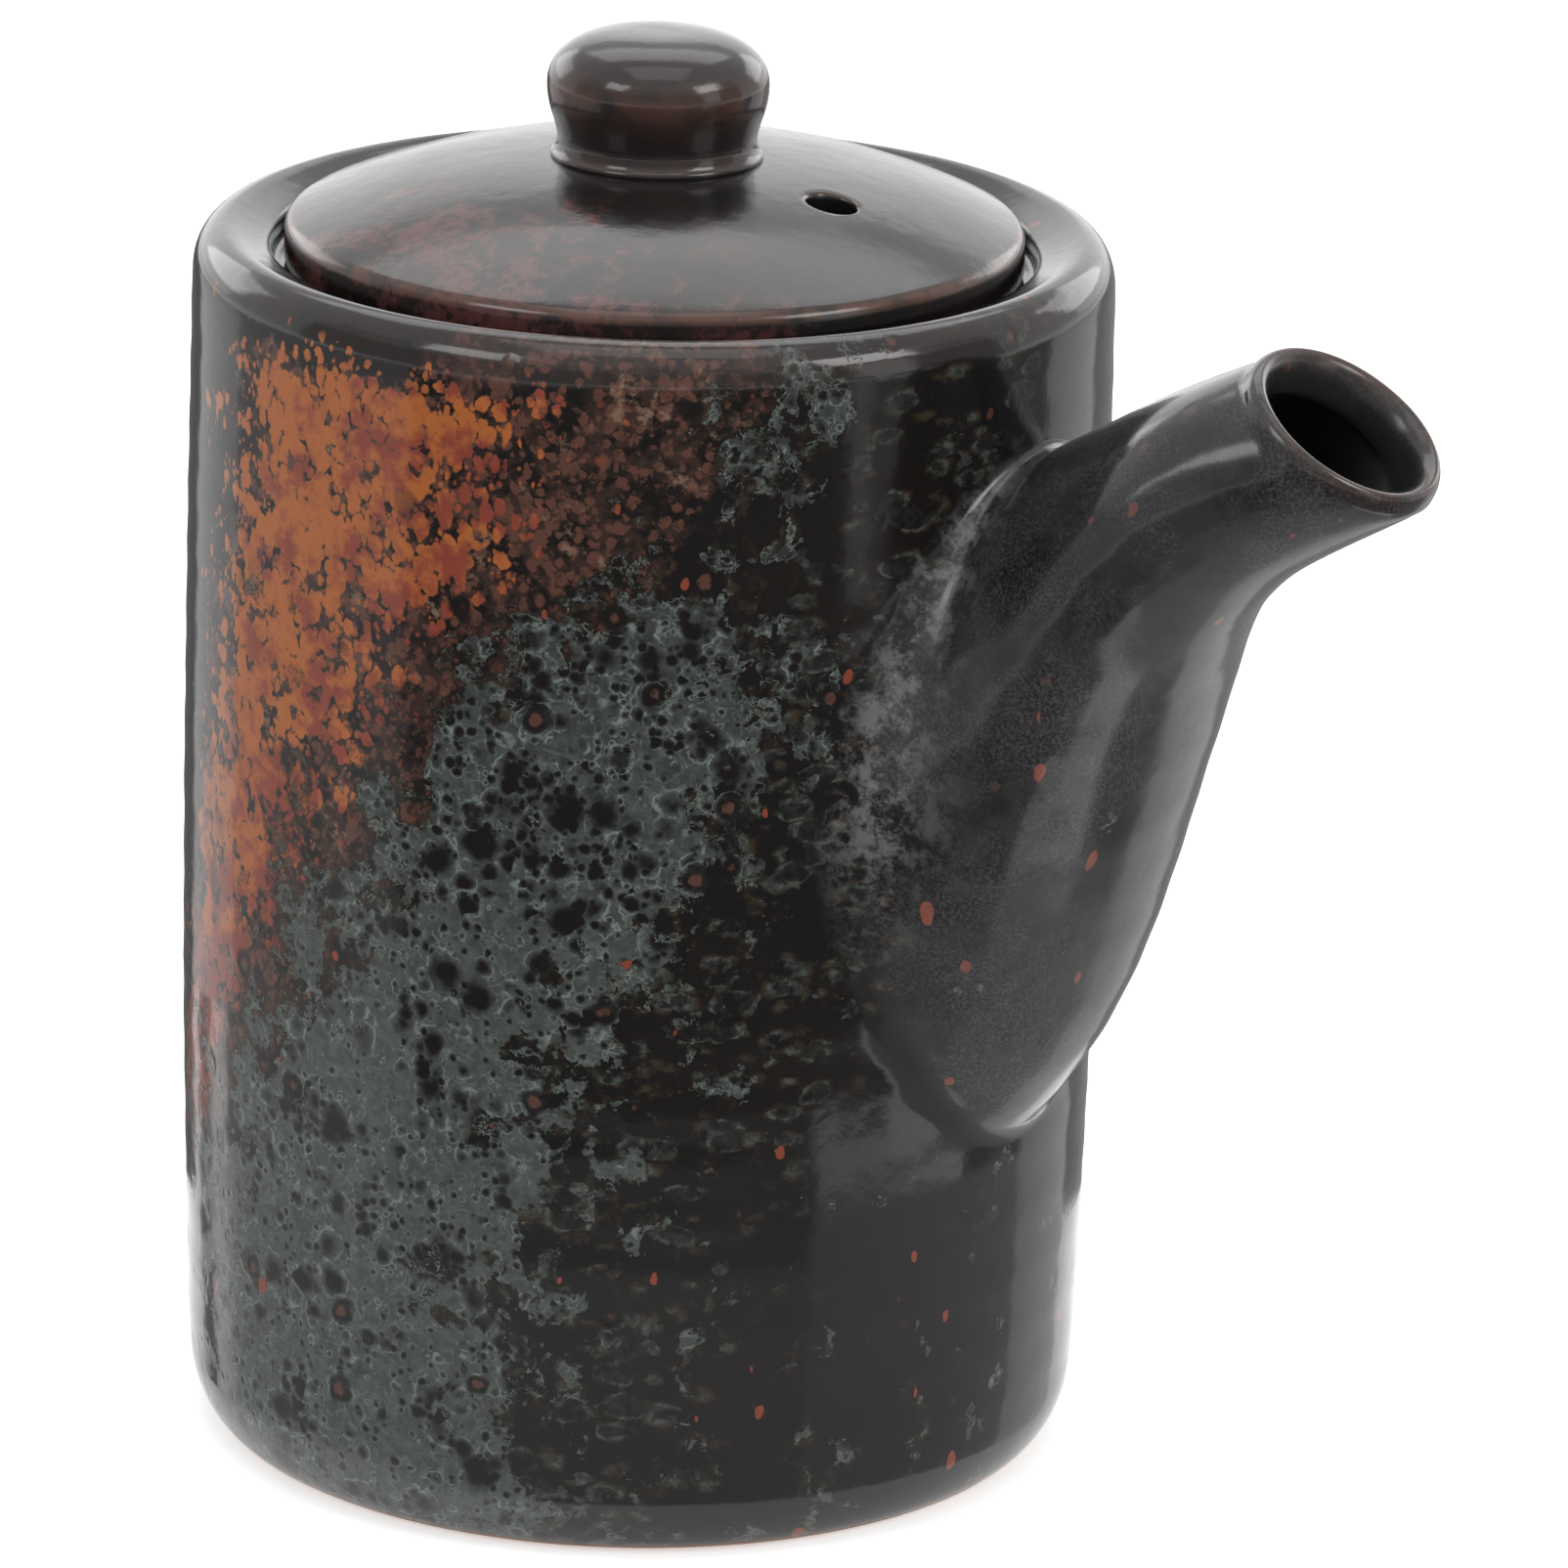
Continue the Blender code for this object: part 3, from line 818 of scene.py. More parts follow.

        # thin on the edges, thick in the crook of the spout, bare under the foot; the crook's pale mist and
        # the spout's grey haze are partly painted sheen, and the inside of the spout is lightened as painted
        # reflection
        worn = patch.attribute(Mark.WORN) * patch.noise(place, 3.0, 3.0).rise(0.30, 0.60)
        colour = patch.mix(worn * (reach.rise(42.0, 60.0) * 0.5 + 0.3), colour, self.thin)
        pooled = patch.attribute(Mark.POOLED)
        # pale mist in the crook: partly matte glaze where it pools, partly painted sheen
        mist_and_sheen_mask = pooled * patch.noise(place, 3.0, 6.0, 0.8, 15.0).rise(0.45, 0.60)
        mist_and_sheen_mask = mist_and_sheen_mask * height.rise(50.0, 70.0) * bearing.rise(58.0, 42.0)
        spout = reach.rise(40.8, 42.6)
        grit = patch.noise(place, 0.28, 3.0, 0.7, 33.0)
        # the spout lightened towards grey: partly a real haze in the glaze, partly painted sheen
        haze_and_sheen_mask = spout * patch.noise(place, 11.0, 5.0, 0.65, 35.0).rise(0.36, 0.58)
        colour = patch.mix(haze_and_sheen_mask * 0.5, colour, self.haze_and_sheen)
        # fine pale speckle on the spout: partly grit in the glaze, partly painted sheen
        dust_and_sheen_mask = spout * patch.noise(place, 9.0, 4.0, 0.6, 31.0).rise(0.38, 0.60) * grit.rise(0.44, 0.62)
        colour = patch.mix((mist_and_sheen_mask * 0.8).most(dust_and_sheen_mask * 0.22), colour, self.mist_and_sheen)
        # painted reflection: the inside of the spout is lightened to grey to stand in for light mirrored in
        # through the mouth
        bored = patch.attribute(Mark.BORED)
        colour = patch.mix(bored * 0.9, colour, self.shade)
        bare = self.bare(patch, place, height)
        clay = patch.mix(grit.rise(0.35, 0.70), self.clay, self.clay_grit)
        colour = patch.mix(bare, colour, clay)

        satin = web * (1.0 - dark) * 0.12 + mist_and_sheen_mask * 0.15 + cloud.rise(0.4, 0.7) * 0.04
        satin = satin + spout * 0.03 + bored * 0.14
        roughness = (satin + self.gloss).most(bare * 0.85)
        relief = patch.noise(place, 2.4, 3.0, 0.5, 17.0) * 0.03 * (1.0 - bare)
        relief = relief - dark * web * 0.02 - heart.rise(0.30, 0.10) * pitted * 0.03 + blotch * 0.006
        relief = relief + grit * bare * 0.08
        self.finish(patch, colour, roughness, relief)
        return material


@dataclass(frozen=True)
class LidGlaze(Glaze):
    """Dark brown-grey glaze with a reddish bloom on one side."""

    ground: Colour = tone(22, 19, 19)
    bloom: Colour = tone(92, 52, 50)
    streak: Colour = tone(46, 34, 32)
    edge: Colour = tone(90, 56, 40)
    bloom_bearing: float = -40.0

    def build(self) -> bpy.types.Material:
        """Builds the material.

        Returns:
            The material, for the lid or its knob.
        """
        material, patch, place = self.start()
        x, y, _ = patch.split(place)
        side = math.radians(self.bloom_bearing - SPOUT_BEARING)
        toward = x * math.cos(side) + y * math.sin(side)
        shade = patch.noise(place, 9.0, 4.0, 0.6, 2.0)
        fine = patch.noise(place, 1.2, 4.0, 0.65, 5.0)
        colour = patch.mix(shade.rise(0.42, 0.66) * 0.5, self.ground, self.streak)
        patches = patch.noise(patch.wander(place, 5.0, 3.0), 5.0, 5.0, 0.7, 8.0)
        bloom = (patches + toward * 0.004 - 0.06).rise(0.50, 0.62) * fine.rise(0.36, 0.52)
        colour = patch.mix(bloom * toward.rise(8.0, 20.0) * 0.7, colour, self.bloom)
        worn = patch.attribute(Mark.WORN) * patch.noise(place, 2.5, 3.0).rise(0.32, 0.58)
        colour = patch.mix(worn * 0.8, colour, self.edge)
        roughness = shade.rise(0.3, 0.7) * 0.08 + self.gloss
        relief = patch.noise(place, 2.2, 3.0, 0.5, 17.0) * 0.05 + fine * 0.004
        self.finish(patch, colour, roughness, relief)
        return material


# ---------------------------------------------------------------- the pot and its spout


@dataclass
class Spout:
    """The spout's sizes and sections, in the plane through the pot's axis, and across it."""

    pot_radius: float
    rim_height: float
    mouth_reach: float = 30.3
    mouth_drop: float = 4.8
    mouth_tilt: float = 56.0
    lip_radius: float = 9.4
    lip_round: tuple[float, float] = (0.9, 1.8)
    mouth_round: tuple[float, float] = (1.5, 3.4)
    bore_radius: float = 7.0
    bore_end: float = 0.93  # where the bore opens into the mouth, from the root to the lip
    crown_drop: float = 13.3
    root_height: float = 61.0
    root_half_width: float = 18.7
    belly_half_width: float = 17.2
    crest_pull: tuple[float, float] = (13.1, 8.6)
    root_wall: float = 4.2
    underside_bends: tuple[tuple[float, float], ...] = ((0.154, 0.0), (0.41, 4.6), (0.63, 8.3), (0.80, 7.1))
    fillet: tuple[float, float, float] = (1.6, 4.8, 1.0)  # at the crown, the sides and the foot
    axis: np.ndarray = field(init=False)
    across: np.ndarray = field(init=False)
    mouth: np.ndarray = field(init=False)

    def __post_init__(self) -> None:
        """Works out the mouth's place and direction, and the ends of the root."""
        tilt = math.radians(self.mouth_tilt)
        self.axis = np.array((math.cos(tilt), math.sin(tilt)))
        self.across = np.array((-self.axis[1], self.axis[0]))
        self.mouth = np.array((self.pot_radius + self.mouth_reach, self.rim_height - self.mouth_drop))

    @property
    def crown(self) -> np.ndarray:
        """The top of the root, in the side view."""
        return np.array((self.pot_radius, self.rim_height - self.crown_drop))

    @property
    def foot(self) -> np.ndarray:
        """The bottom of the root, in the side view."""
        return self.crown - (0.0, self.root_height)

    @property
    def girth(self) -> np.ndarray:
        """The middle of the lip's widest ring."""
        return self.mouth - self.axis * self.lip_round[1]

    def underside(self, share: float) -> np.ndarray:
        """A point of the underside, on a smooth curve through its bends."""
        lip = self.girth - self.across * self.lip_radius
        chord = lip - self.foot
        inward = np.array((-chord[1], chord[0])) / np.linalg.norm(chord)
        bends = [self.foot + chord * along + inward * depth for along, depth in self.underside_bends]
        knots = [self.foot, *bends, lip]
        knots = [2 * knots[0] - knots[1], *knots, 2 * knots[-1] - knots[-2]]
        spans = len(knots) - 3
        span = min(int(share * spans), spans - 1)
        t = share * spans - span
        a, b, c, d = knots[span : span + 4]
        return (2 * b + (c - a) * t + (2 * a - 5 * b + 4 * c - d) * t**2 + (3 * b - a - 3 * c + d) * t**3) / 2

    def crest(self, share: float) -> np.ndarray:
        """A point of the crest."""
        lip = self.girth + self.across * self.lip_radius
        pull = self.crown + self.crest_pull
        return self.crown * (1 - share) ** 2 + pull * 2 * share * (1 - share) + lip * share**2

    def section(self, share: float, around: np.ndarray, inset: float = 0.0) -> np.ndarray:
        """One oval section.

        Args:
            share: 0 at the root to 1 at the lip.
            around: angles of its points from the crest.
            inset: how far inside the skin it lies.

        Returns:
            One row of x, y and z for each point.
        """
        low, high = self.underside(share), self.crest(share)
        width = (
            self.root_half_width * (1 - share) ** 2
            + self.belly_half_width * 2 * share * (1 - share)
            + self.lip_radius * share**2
        )
        half = (high - low) / 2
        half = half * (1 - inset / np.linalg.norm(half))
        middle = (low + high) / 2
        side = middle + np.outer(np.cos(around), half)
        return np.stack([side[:, 0], (width - inset) * np.sin(around), side[:, 1]], 1)

    def lip_ring(self, radius: float, depth: float, around: np.ndarray) -> np.ndarray:
        """A circle round the mouth's axis at a depth behind the mouth."""
        centre = self.mouth - self.axis * depth
        side = centre + np.outer(np.cos(around), self.across * radius)
        return np.stack([side[:, 0], radius * np.sin(around), side[:, 1]], 1)


@dataclass
class ThrownPot:
    """The thrown pot with its spout luted on, as one glazed skin."""

    base_inset: float = 1.2
    shoulder_inset: float = 0.4
    wall: float = 4.0
    floor: float = 5.5
    dish_radius: float = 31.0
    dish_depth: float = 0.35
    foot_round: tuple[float, float] = (3.9, 7.2)
    shoulder_round: tuple[float, float] = (3.0, 3.9)
    floor_round: float = 6.0
    rim_width: float = 7.2
    rim_slope_drop: float = 1.4
    gallery_depth: float = 3.4
    ledge_width: float = 4.0
    ledge_thickness: float = 3.2
    ledge_taper: float = 5.0
    pour_hole: tuple[float, float] = (8.0, 11.0)
    pour_hole_lift: float = 28.0
    pour_hole_round: float = 0.8
    window: tuple[float, float] = (28.0, 101.5)
    inner_window_drop: float = 10.5
    crook_pull: float = 0.62
    crook_pool: float = 0.8  # how much of the crook's turn the glaze lies thick on
    lip_relief: float = 0.2
    crook_rings: int = 8
    spout_rings: int = 46
    margin_rings: int = 6
    inner_margin_rings: int = 8
    columns: int = 192
    wall_rows: int = 76
    window_columns: int = 22

    def __post_init__(self) -> None:
        """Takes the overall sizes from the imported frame."""
        _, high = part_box("pot_body")
        self.radius = high.y / MM
        self.rim_height = high.z / MM
        self.spout = Spout(self.radius, self.rim_height)

    def wall_radius(self, height: np.ndarray) -> np.ndarray:
        """Outer radius of the bellied wall at a height."""
        middle = self.rim_height / 2
        inset = np.where(height < middle, self.base_inset, self.shoulder_inset)
        return self.radius - inset * ((height - middle) / middle) ** 2

    def outline(self) -> tuple[Outline, Window, Window]:
        """The profile from the middle of the base, over the rim and down to the floor.

        Returns:
            The profile, and the windows for the spout outside and the pour hole inside.
        """
        low = self.foot_round[1]
        high = self.rim_height - self.shoulder_round[1]
        foot_radius = float(self.wall_radius(low))
        path = Outline(0.0, self.dish_depth)
        path.line(self.dish_radius, self.dish_depth, step=3.0)
        path.line(foot_radius - self.foot_round[0] - 1.0, 0.0, step=1.5)
        path.line(foot_radius - self.foot_round[0], 0.0)
        path.arc((foot_radius - self.foot_round[0], low), self.foot_round, (-90, 0), 14, 0.6)
        heights = np.linspace(low, high, self.wall_rows + 1)
        start = len(path.rows)
        for height in heights[1:]:
            path.point(float(self.wall_radius(height)), height, 1.0)
        low_end, high_end = self.window
        outer = Window(path.row_at(high_end, start), path.row_at(low_end, start), self.window_columns)
        shoulder = path.rows[-1][0]
        crest = shoulder - self.shoulder_round[0]
        path.arc((crest, high), self.shoulder_round, (0, 90), 12, 0.7, 0.5)
        mouth = self.radius - self.rim_width
        slope_end = (mouth, self.rim_height - self.rim_slope_drop)
        ledge = self.rim_height - self.gallery_depth
        throat = mouth - self.ledge_width
        inside = self.radius - self.wall
        under = ledge - self.ledge_thickness
        path.bend(slope_end, (mouth, ledge), 0.9, 0.3, 0.7)
        path.bend((mouth, ledge), (throat, ledge), 0.7)
        path.bend((throat, ledge), (throat, under), 0.5)
        path.bend((throat, under), (inside, under - self.ledge_taper), 0.8)
        path.bend((inside, under - self.ledge_taper), (inside, self.floor), 2.0)
        step = heights[1] - heights[0]
        top = path.rows[-1][1]
        bottom = self.floor + self.floor_round
        rows = round((top - bottom) / step)
        for height in np.linspace(top, bottom, rows + 1)[1:]:
            path.point(inside, height, 0.6)
        span = outer.first_row - outer.last_row
        first = path.row_at(high_end - self.inner_window_drop, len(path.rows) - rows)
        inner = Window(first, first + span, self.window_columns)
        round_floor = (self.floor_round, self.floor_round)
        path.arc((inside - self.floor_round, bottom), round_floor, (0, -90), 8, 0.5)
        path.line(0.0, self.floor, 0.3, step=3.0)
        return path, outer, inner

    def on_wall(self, along: np.ndarray, height: np.ndarray, radius: Union[float, np.ndarray]) -> np.ndarray:
        """Points on a wall, from the distance round it from the spout's plane, and the height."""
        angle = along / self.radius
        return np.stack([radius * np.cos(angle), radius * np.sin(angle), height], 1)

    def unrolled(self, points: np.ndarray) -> np.ndarray:
        """Distance round the wall from the spout's plane, and height, of points on a wall."""
        return np.stack([self.radius * np.arctan2(points[:, 1], points[:, 0]), points[:, 2]], 1)

    def margin(
        self, skin: Surface, start: np.ndarray, end: np.ndarray, rings: int, radius: Optional[float] = None
    ) -> list[np.ndarray]:
        """Rings on a wall between two loops given as distance round and height.

        Args:
            skin: the surface to add to.
            start: the loop to leave, which is already there.
            end: the loop to reach.
            rings: how many to add, the last of them at the end.
            radius: the wall's, or None for the bellied outside.

        Returns:
            Their point numbers.
        """
        made = []
        for share in shares(rings):
            flat = start + (end - start) * share
            wall = self.wall_radius(flat[:, 1]) if radius is None else radius
            made.append(skin.ring(self.on_wall(flat[:, 0], flat[:, 1], wall)))
        return made

    def build_spout(self, skin: Surface, outer: np.ndarray, inner: np.ndarray, around: np.ndarray) -> None:
        """Sews the spout into the wall's window, and its bore through the pour hole to the inside.

        Args:
            skin: the pot's surface.
            outer: the outside window's loop.
            inner: the inside window's loop.
            around: the angle of each of their points from the crest.
        """
        spout = self.spout
        every = np.concatenate(skin.points)
        radius = self.radius
        middle = (spout.crown + spout.foot) / 2
        half = spout.root_height / 2
        root_y = spout.root_half_width * np.sin(around)
        root_z = middle[1] + half * np.cos(around)
        root = np.stack([radius * np.arcsin(root_y / radius), root_z], 1)
        ahead = np.roll(root, -1, 0) - np.roll(root, 1, 0)
        normal = np.stack([ahead[:, 1], -ahead[:, 0]], 1)
        normal /= np.linalg.norm(normal, axis=1, keepdims=True)
        normal *= np.sign(np.sum(normal * (root - (0.0, middle[1])), 1, keepdims=True))
        crown, side, foot = spout.fillet
        up, down = np.maximum(np.cos(around), 0.0), np.maximum(-np.cos(around), 0.0)
        size = crown * up**2 + foot * down**2 + side * np.sin(around) ** 2
        rim = root + normal * size[:, None]

        # down the wall from the window to where the crook begins
        edge = self.unrolled(every[outer])
        rings = [outer, *self.margin(skin, edge, rim, self.margin_rings)]
        start = self.on_wall(rim[:, 0], rim[:, 1], self.wall_radius(rim[:, 1]))
        turn = rim[:, 0] / radius
        level = np.stack([-np.sin(turn), np.cos(turn), np.zeros_like(turn)], 1)
        leave = -(normal[:, :1] * level + normal[:, 1:] * (0.0, 0.0, 1.0))

        # lengthwise lines of the skin, from the root to the lip's widest ring
        wall_x = np.sqrt(self.wall_radius(root_z) ** 2 - root_y**2)
        lines = [np.stack([wall_x, root_y, root_z], 1)]
        lines += [spout.section(share, around) for share in np.linspace(0.03, 1.0, 98)]
        lines = np.array(lines)
        pieces = np.linalg.norm(np.diff(lines, axis=0), axis=2)
        lengths = np.concatenate([np.zeros((1, len(around))), np.cumsum(pieces, 0)])

        def on_skin(distance: np.ndarray) -> np.ndarray:
            """The points at a distance along each of the lengthwise lines."""
            places = np.empty((len(around), 3))
            for k in range(len(around)):
                for axis in range(3):
                    places[k, axis] = np.interp(distance[k], lengths[:, k], lines[:, k, axis])
            return places

        arrive = on_skin(size + 0.5) - on_skin(size - 0.5)
        arrive /= np.linalg.norm(arrive, axis=1, keepdims=True)
        end = on_skin(size)
        pull = self.crook_pull * size[:, None]
        for share in shares(self.crook_rings):
            place = curve(share, start, start + leave * pull, end - arrive * pull, end)
            rings.append(skin.ring(place, pooled=math.sin(math.pi * share * self.crook_pool)))
        for share in shares(self.spout_rings):
            pooled = max(0.0, 0.59 - share * 3.0)
            place = on_skin(size + (lengths[-1] - size) * share)
            rings.append(skin.ring(place, 1.0 - 0.6 * share, pooled=pooled))

        # over the lip and into the mouth
        for share in shares(6):
            angle = share * math.pi / 2
            rolled = spout.lip_radius - spout.lip_round[0] * (1 - math.cos(angle))
            depth = spout.lip_round[1] * (1 - math.sin(angle))
            rings.append(skin.ring(spout.lip_ring(rolled, depth, around), 0.3, share**2))
        crest = spout.lip_radius - spout.lip_round[0]
        for share in shares(4):
            angle = share * math.pi / 2
            rolled = crest - spout.mouth_round[0] * math.sin(angle)
            depth = spout.mouth_round[1] * (1 - math.cos(angle))
            place = spout.lip_ring(rolled, depth, around)
            rings.append(skin.ring(place, self.lip_relief, (1.0 - share) ** 2, bored=share))
        throat = spout.lip_ring(crest - spout.mouth_round[0], spout.mouth_round[1], around)
        lip_wall = spout.lip_radius - spout.bore_radius
        bore = spout.section(spout.bore_end, around, lip_wall)
        inward = np.array((spout.axis[0], 0.0, spout.axis[1])) * -2.0
        onward = (spout.section(0.90, around, lip_wall) - bore) * 0.9
        for share in shares(5)[:-1]:
            place = curve(share, throat, throat + inward, bore - onward, bore)
            rings.append(skin.ring(place, self.lip_relief, bored=1.0))
        for share in np.linspace(spout.bore_end, 0.0, 34):
            inset = spout.root_wall * (1 - share) + lip_wall * share
            rings.append(skin.ring(spout.section(share, around, inset), 0.3, bored=1.0))

        # across the wall inside the spout, through the pour hole and on to the inside window
        hole = np.stack([self.pour_hole[0] * np.sin(around), self.pour_hole[1] * np.cos(around)], 1)
        hole[:, 1] += spout.foot[1] + self.pour_hole_lift
        chamber_y = (spout.root_half_width - spout.root_wall) * np.sin(around)
        chamber = np.stack([chamber_y, middle[1] + (half - spout.root_wall) * np.cos(around)], 1)
        inside = radius - self.wall
        lead = (chamber - hole) / np.linalg.norm(chamber - hole, axis=1, keepdims=True)
        full = self.pour_hole_round
        part = 0.2875 * full  # on the rounding, halfway round
        path = [(chamber, radius), ((chamber + hole + lead) / 2, radius), (hole + lead * full, radius)]
        path += [(hole + lead * part, radius - part), (hole, radius - full), (hole, inside + full)]
        path += [(hole + lead * part, inside + part), (hole + lead * full, inside)]
        for flat, wall in path:
            x = np.sqrt(wall**2 - flat[:, 0] ** 2)
            rings.append(skin.ring(np.stack([x, flat[:, 0], flat[:, 1]], 1), 0.3))
        edge = self.unrolled(every[inner])
        last = hole + lead * full
        begin = np.stack([radius * np.arcsin(last[:, 0] / inside), last[:, 1]], 1)
        count = self.inner_margin_rings
        short = begin + (edge - begin) * (count / (count + 1))
        rings += self.margin(skin, begin, short, count, inside)
        rings.append(inner)
        skin.sew_all(rings)

    def build(self) -> bpy.types.Object:
        """Builds the glazed skin.

        Returns:
            The piece, before its relief.
        """
        skin = Surface()
        path, outer, inner = self.outline()
        table = skin.turn(path, self.columns, (outer, inner))
        self.build_spout(skin, outer.loop(table), inner.loop(table), outer.angles())
        return skin.to_object("glazed_pot")

    def dress(self, piece: bpy.types.Object) -> None:
        """Glazes the pot and sets it on its body in place of the CAD solids."""
        Throwing().shape(piece, PotGlaze("pot_glaze_fired").build())
        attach(piece, Body.POT.value)
        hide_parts("pot_body", "spout")


# ---------------------------------------------------------------- the lid and its knob


@dataclass
class DomedLid:
    """The domed lid with its flange and its vent."""

    gap: float = 1.1
    rise: float = 6.3
    fullness: float = 2.5
    edge: float = 3.7
    edge_round: float = 1.4
    thickness: float = 3.8
    flange_gap: float = 0.8
    flange_thickness: float = 2.6
    flange_depth: float = 7.0
    rest_gap: float = 0.3
    seat_radius: float = 9.25
    vent_radius: float = 2.15
    vent_place: float = 18.3
    vent_round: float = 0.45
    window_reach: float = 5.0
    columns: int = 192
    window_columns: int = 8
    pot: ThrownPot = field(default_factory=ThrownPot)

    def __post_init__(self) -> None:
        """Takes the lid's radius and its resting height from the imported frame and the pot."""
        _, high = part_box("lid")
        self.radius = high.y / MM
        self.ledge = self.pot.rim_height - self.pot.gallery_depth
        self.rest = self.ledge + self.rest_gap

    def dome(self, radius: Union[float, np.ndarray]) -> Union[float, np.ndarray]:
        """Height of the domed top at a distance from the axis."""
        return self.rest + self.edge + self.rise * (1 - (radius / self.radius) ** self.fullness)

    def underside(self, radius: Union[float, np.ndarray]) -> Union[float, np.ndarray]:
        """Height of the hollow underside at a distance from the axis."""
        return np.minimum(self.dome(radius), self.dome(self.seat_radius)) - self.thickness

    def outline(self) -> tuple[Outline, Window, Window]:
        """The profile from the middle of the underside, round the edge and over the dome.

        Returns:
            The profile, and the windows for the vent underneath and on top.
        """
        outside = self.radius + self.gap - self.pot.ledge_width - self.flange_gap
        inside = outside - self.flange_thickness
        foot = self.ledge - self.flange_depth
        path = Outline(0.0, float(self.underside(0.0)))
        for radius in np.linspace(0, inside - 1.4, 22)[1:]:
            path.point(radius, float(self.underside(radius)), 0.4)
        near, far = self.vent_place - self.window_reach, self.vent_place + self.window_reach
        under = Window(path_row(path, near), path_row(path, far), self.window_columns)
        path.bend((inside, float(self.underside(inside))), (inside, foot), 1.2)
        path.bend((inside, foot), (outside, foot), 1.0)
        path.bend((outside, foot), (outside, self.rest), 1.0)
        path.bend((outside, self.rest), (self.radius, self.rest), 0.4)
        path.bend((self.radius, self.rest), (self.radius, self.rest + 2.0), 0.7, worn=0.4)
        touch = self.radius - self.edge_round * 0.58
        slope = -self.rise * self.fullness * (touch / self.radius) ** (self.fullness - 1) / self.radius
        stop = 90.0 + math.degrees(math.atan(slope))
        centre_z = float(self.dome(touch)) - self.edge_round * math.sin(math.radians(stop))
        centre = (touch - self.edge_round * math.cos(math.radians(stop)), centre_z)
        path.line(centre[0] + self.edge_round, centre_z, 0.2)
        path.arc(centre, (self.edge_round,) * 2, (0, stop), 7, 0.4, 0.9)
        start = len(path.rows)
        for radius in np.linspace(touch, self.seat_radius, 27)[1:]:
            path.point(radius, float(self.dome(radius)), 1.0)
        first = path_row(path, near, start)
        span = abs(under.last_row - under.first_row)
        top = Window(first, first - span, self.window_columns)
        path.line(0.0, float(self.dome(self.seat_radius)), 0.0, step=2.0)
        return path, under, top

    def build_vent(self, skin: Surface, top: np.ndarray, under: np.ndarray, around: np.ndarray) -> None:
        """Sews the vent's rounded hole between the windows above and below."""
        every = np.concatenate(skin.points)
        ring = np.stack([-np.cos(around), np.sin(around)], 1)
        centre = np.array((self.vent_place, 0.0))

        def circle(radius: float) -> np.ndarray:
            """A ring of points round the vent's middle."""
            return centre + ring * radius

        rings = [top]
        wide = self.vent_radius + self.vent_round
        edge = every[top][:, :2]
        for share in (0.34, 0.62, 0.84, 1.0):
            flat = edge + (circle(wide) - edge) * share
            rings.append(skin.ring(np.c_[flat, self.dome(np.hypot(*flat.T))], 0.8, pooled=share**3))
        for share in shares(5):
            angle = share * math.pi / 2
            flat = circle(wide - self.vent_round * math.sin(angle))
            drop = self.vent_round * (1 - math.cos(angle))
            rings.append(skin.ring(np.c_[flat, self.dome(np.hypot(*flat.T)) - drop], 0.0, 0.8 * (1 - share)))
        flat = circle(self.vent_radius)
        for share in (0.35, 0.7, 1.0):
            upper = self.dome(np.hypot(*flat.T)) - self.vent_round
            lower = self.underside(np.hypot(*flat.T)) + 0.3
            rings.append(skin.ring(np.c_[flat, upper + (lower - upper) * share], 0.0))
        edge = every[under][:, :2]
        for share in (0.0, 0.3, 0.65):
            flat = circle(self.vent_radius + 0.3)
            flat = flat + (edge - flat) * share
            rings.append(skin.ring(np.c_[flat, self.underside(np.hypot(*flat.T))], 0.0))
        rings.append(under)
        skin.sew_all(rings)

    def build(self) -> bpy.types.Object:
        """Builds the lid's skin.

        Returns:
            The piece, before its relief.
        """
        skin = Surface()
        path, under, top = self.outline()
        table = skin.turn(path, self.columns, (under, top))
        self.build_vent(skin, top.loop(table), under.loop(table), top.angles())
        return skin.to_object("glazed_lid")

    def dress(self, piece: bpy.types.Object) -> None:
        """Glazes the lid and sets it on its body in place of the CAD solid."""
        Throwing(ring_depth=0.02, swell_depth=0.07, swell_size=11.0, seed=7).shape(
            piece, LidGlaze("lid_glaze_fired", gloss=0.15).build()
        )
        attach(piece, Body.LID.value)
        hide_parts("lid")


def path_row(path: Outline, radius: float, start: int = 0) -> int:
    """The row from start on whose radius is nearest the one given."""
    radii = np.array([row[0] for row in path.rows[start:]])
    return start + int(np.argmin(abs(radii - radius)))


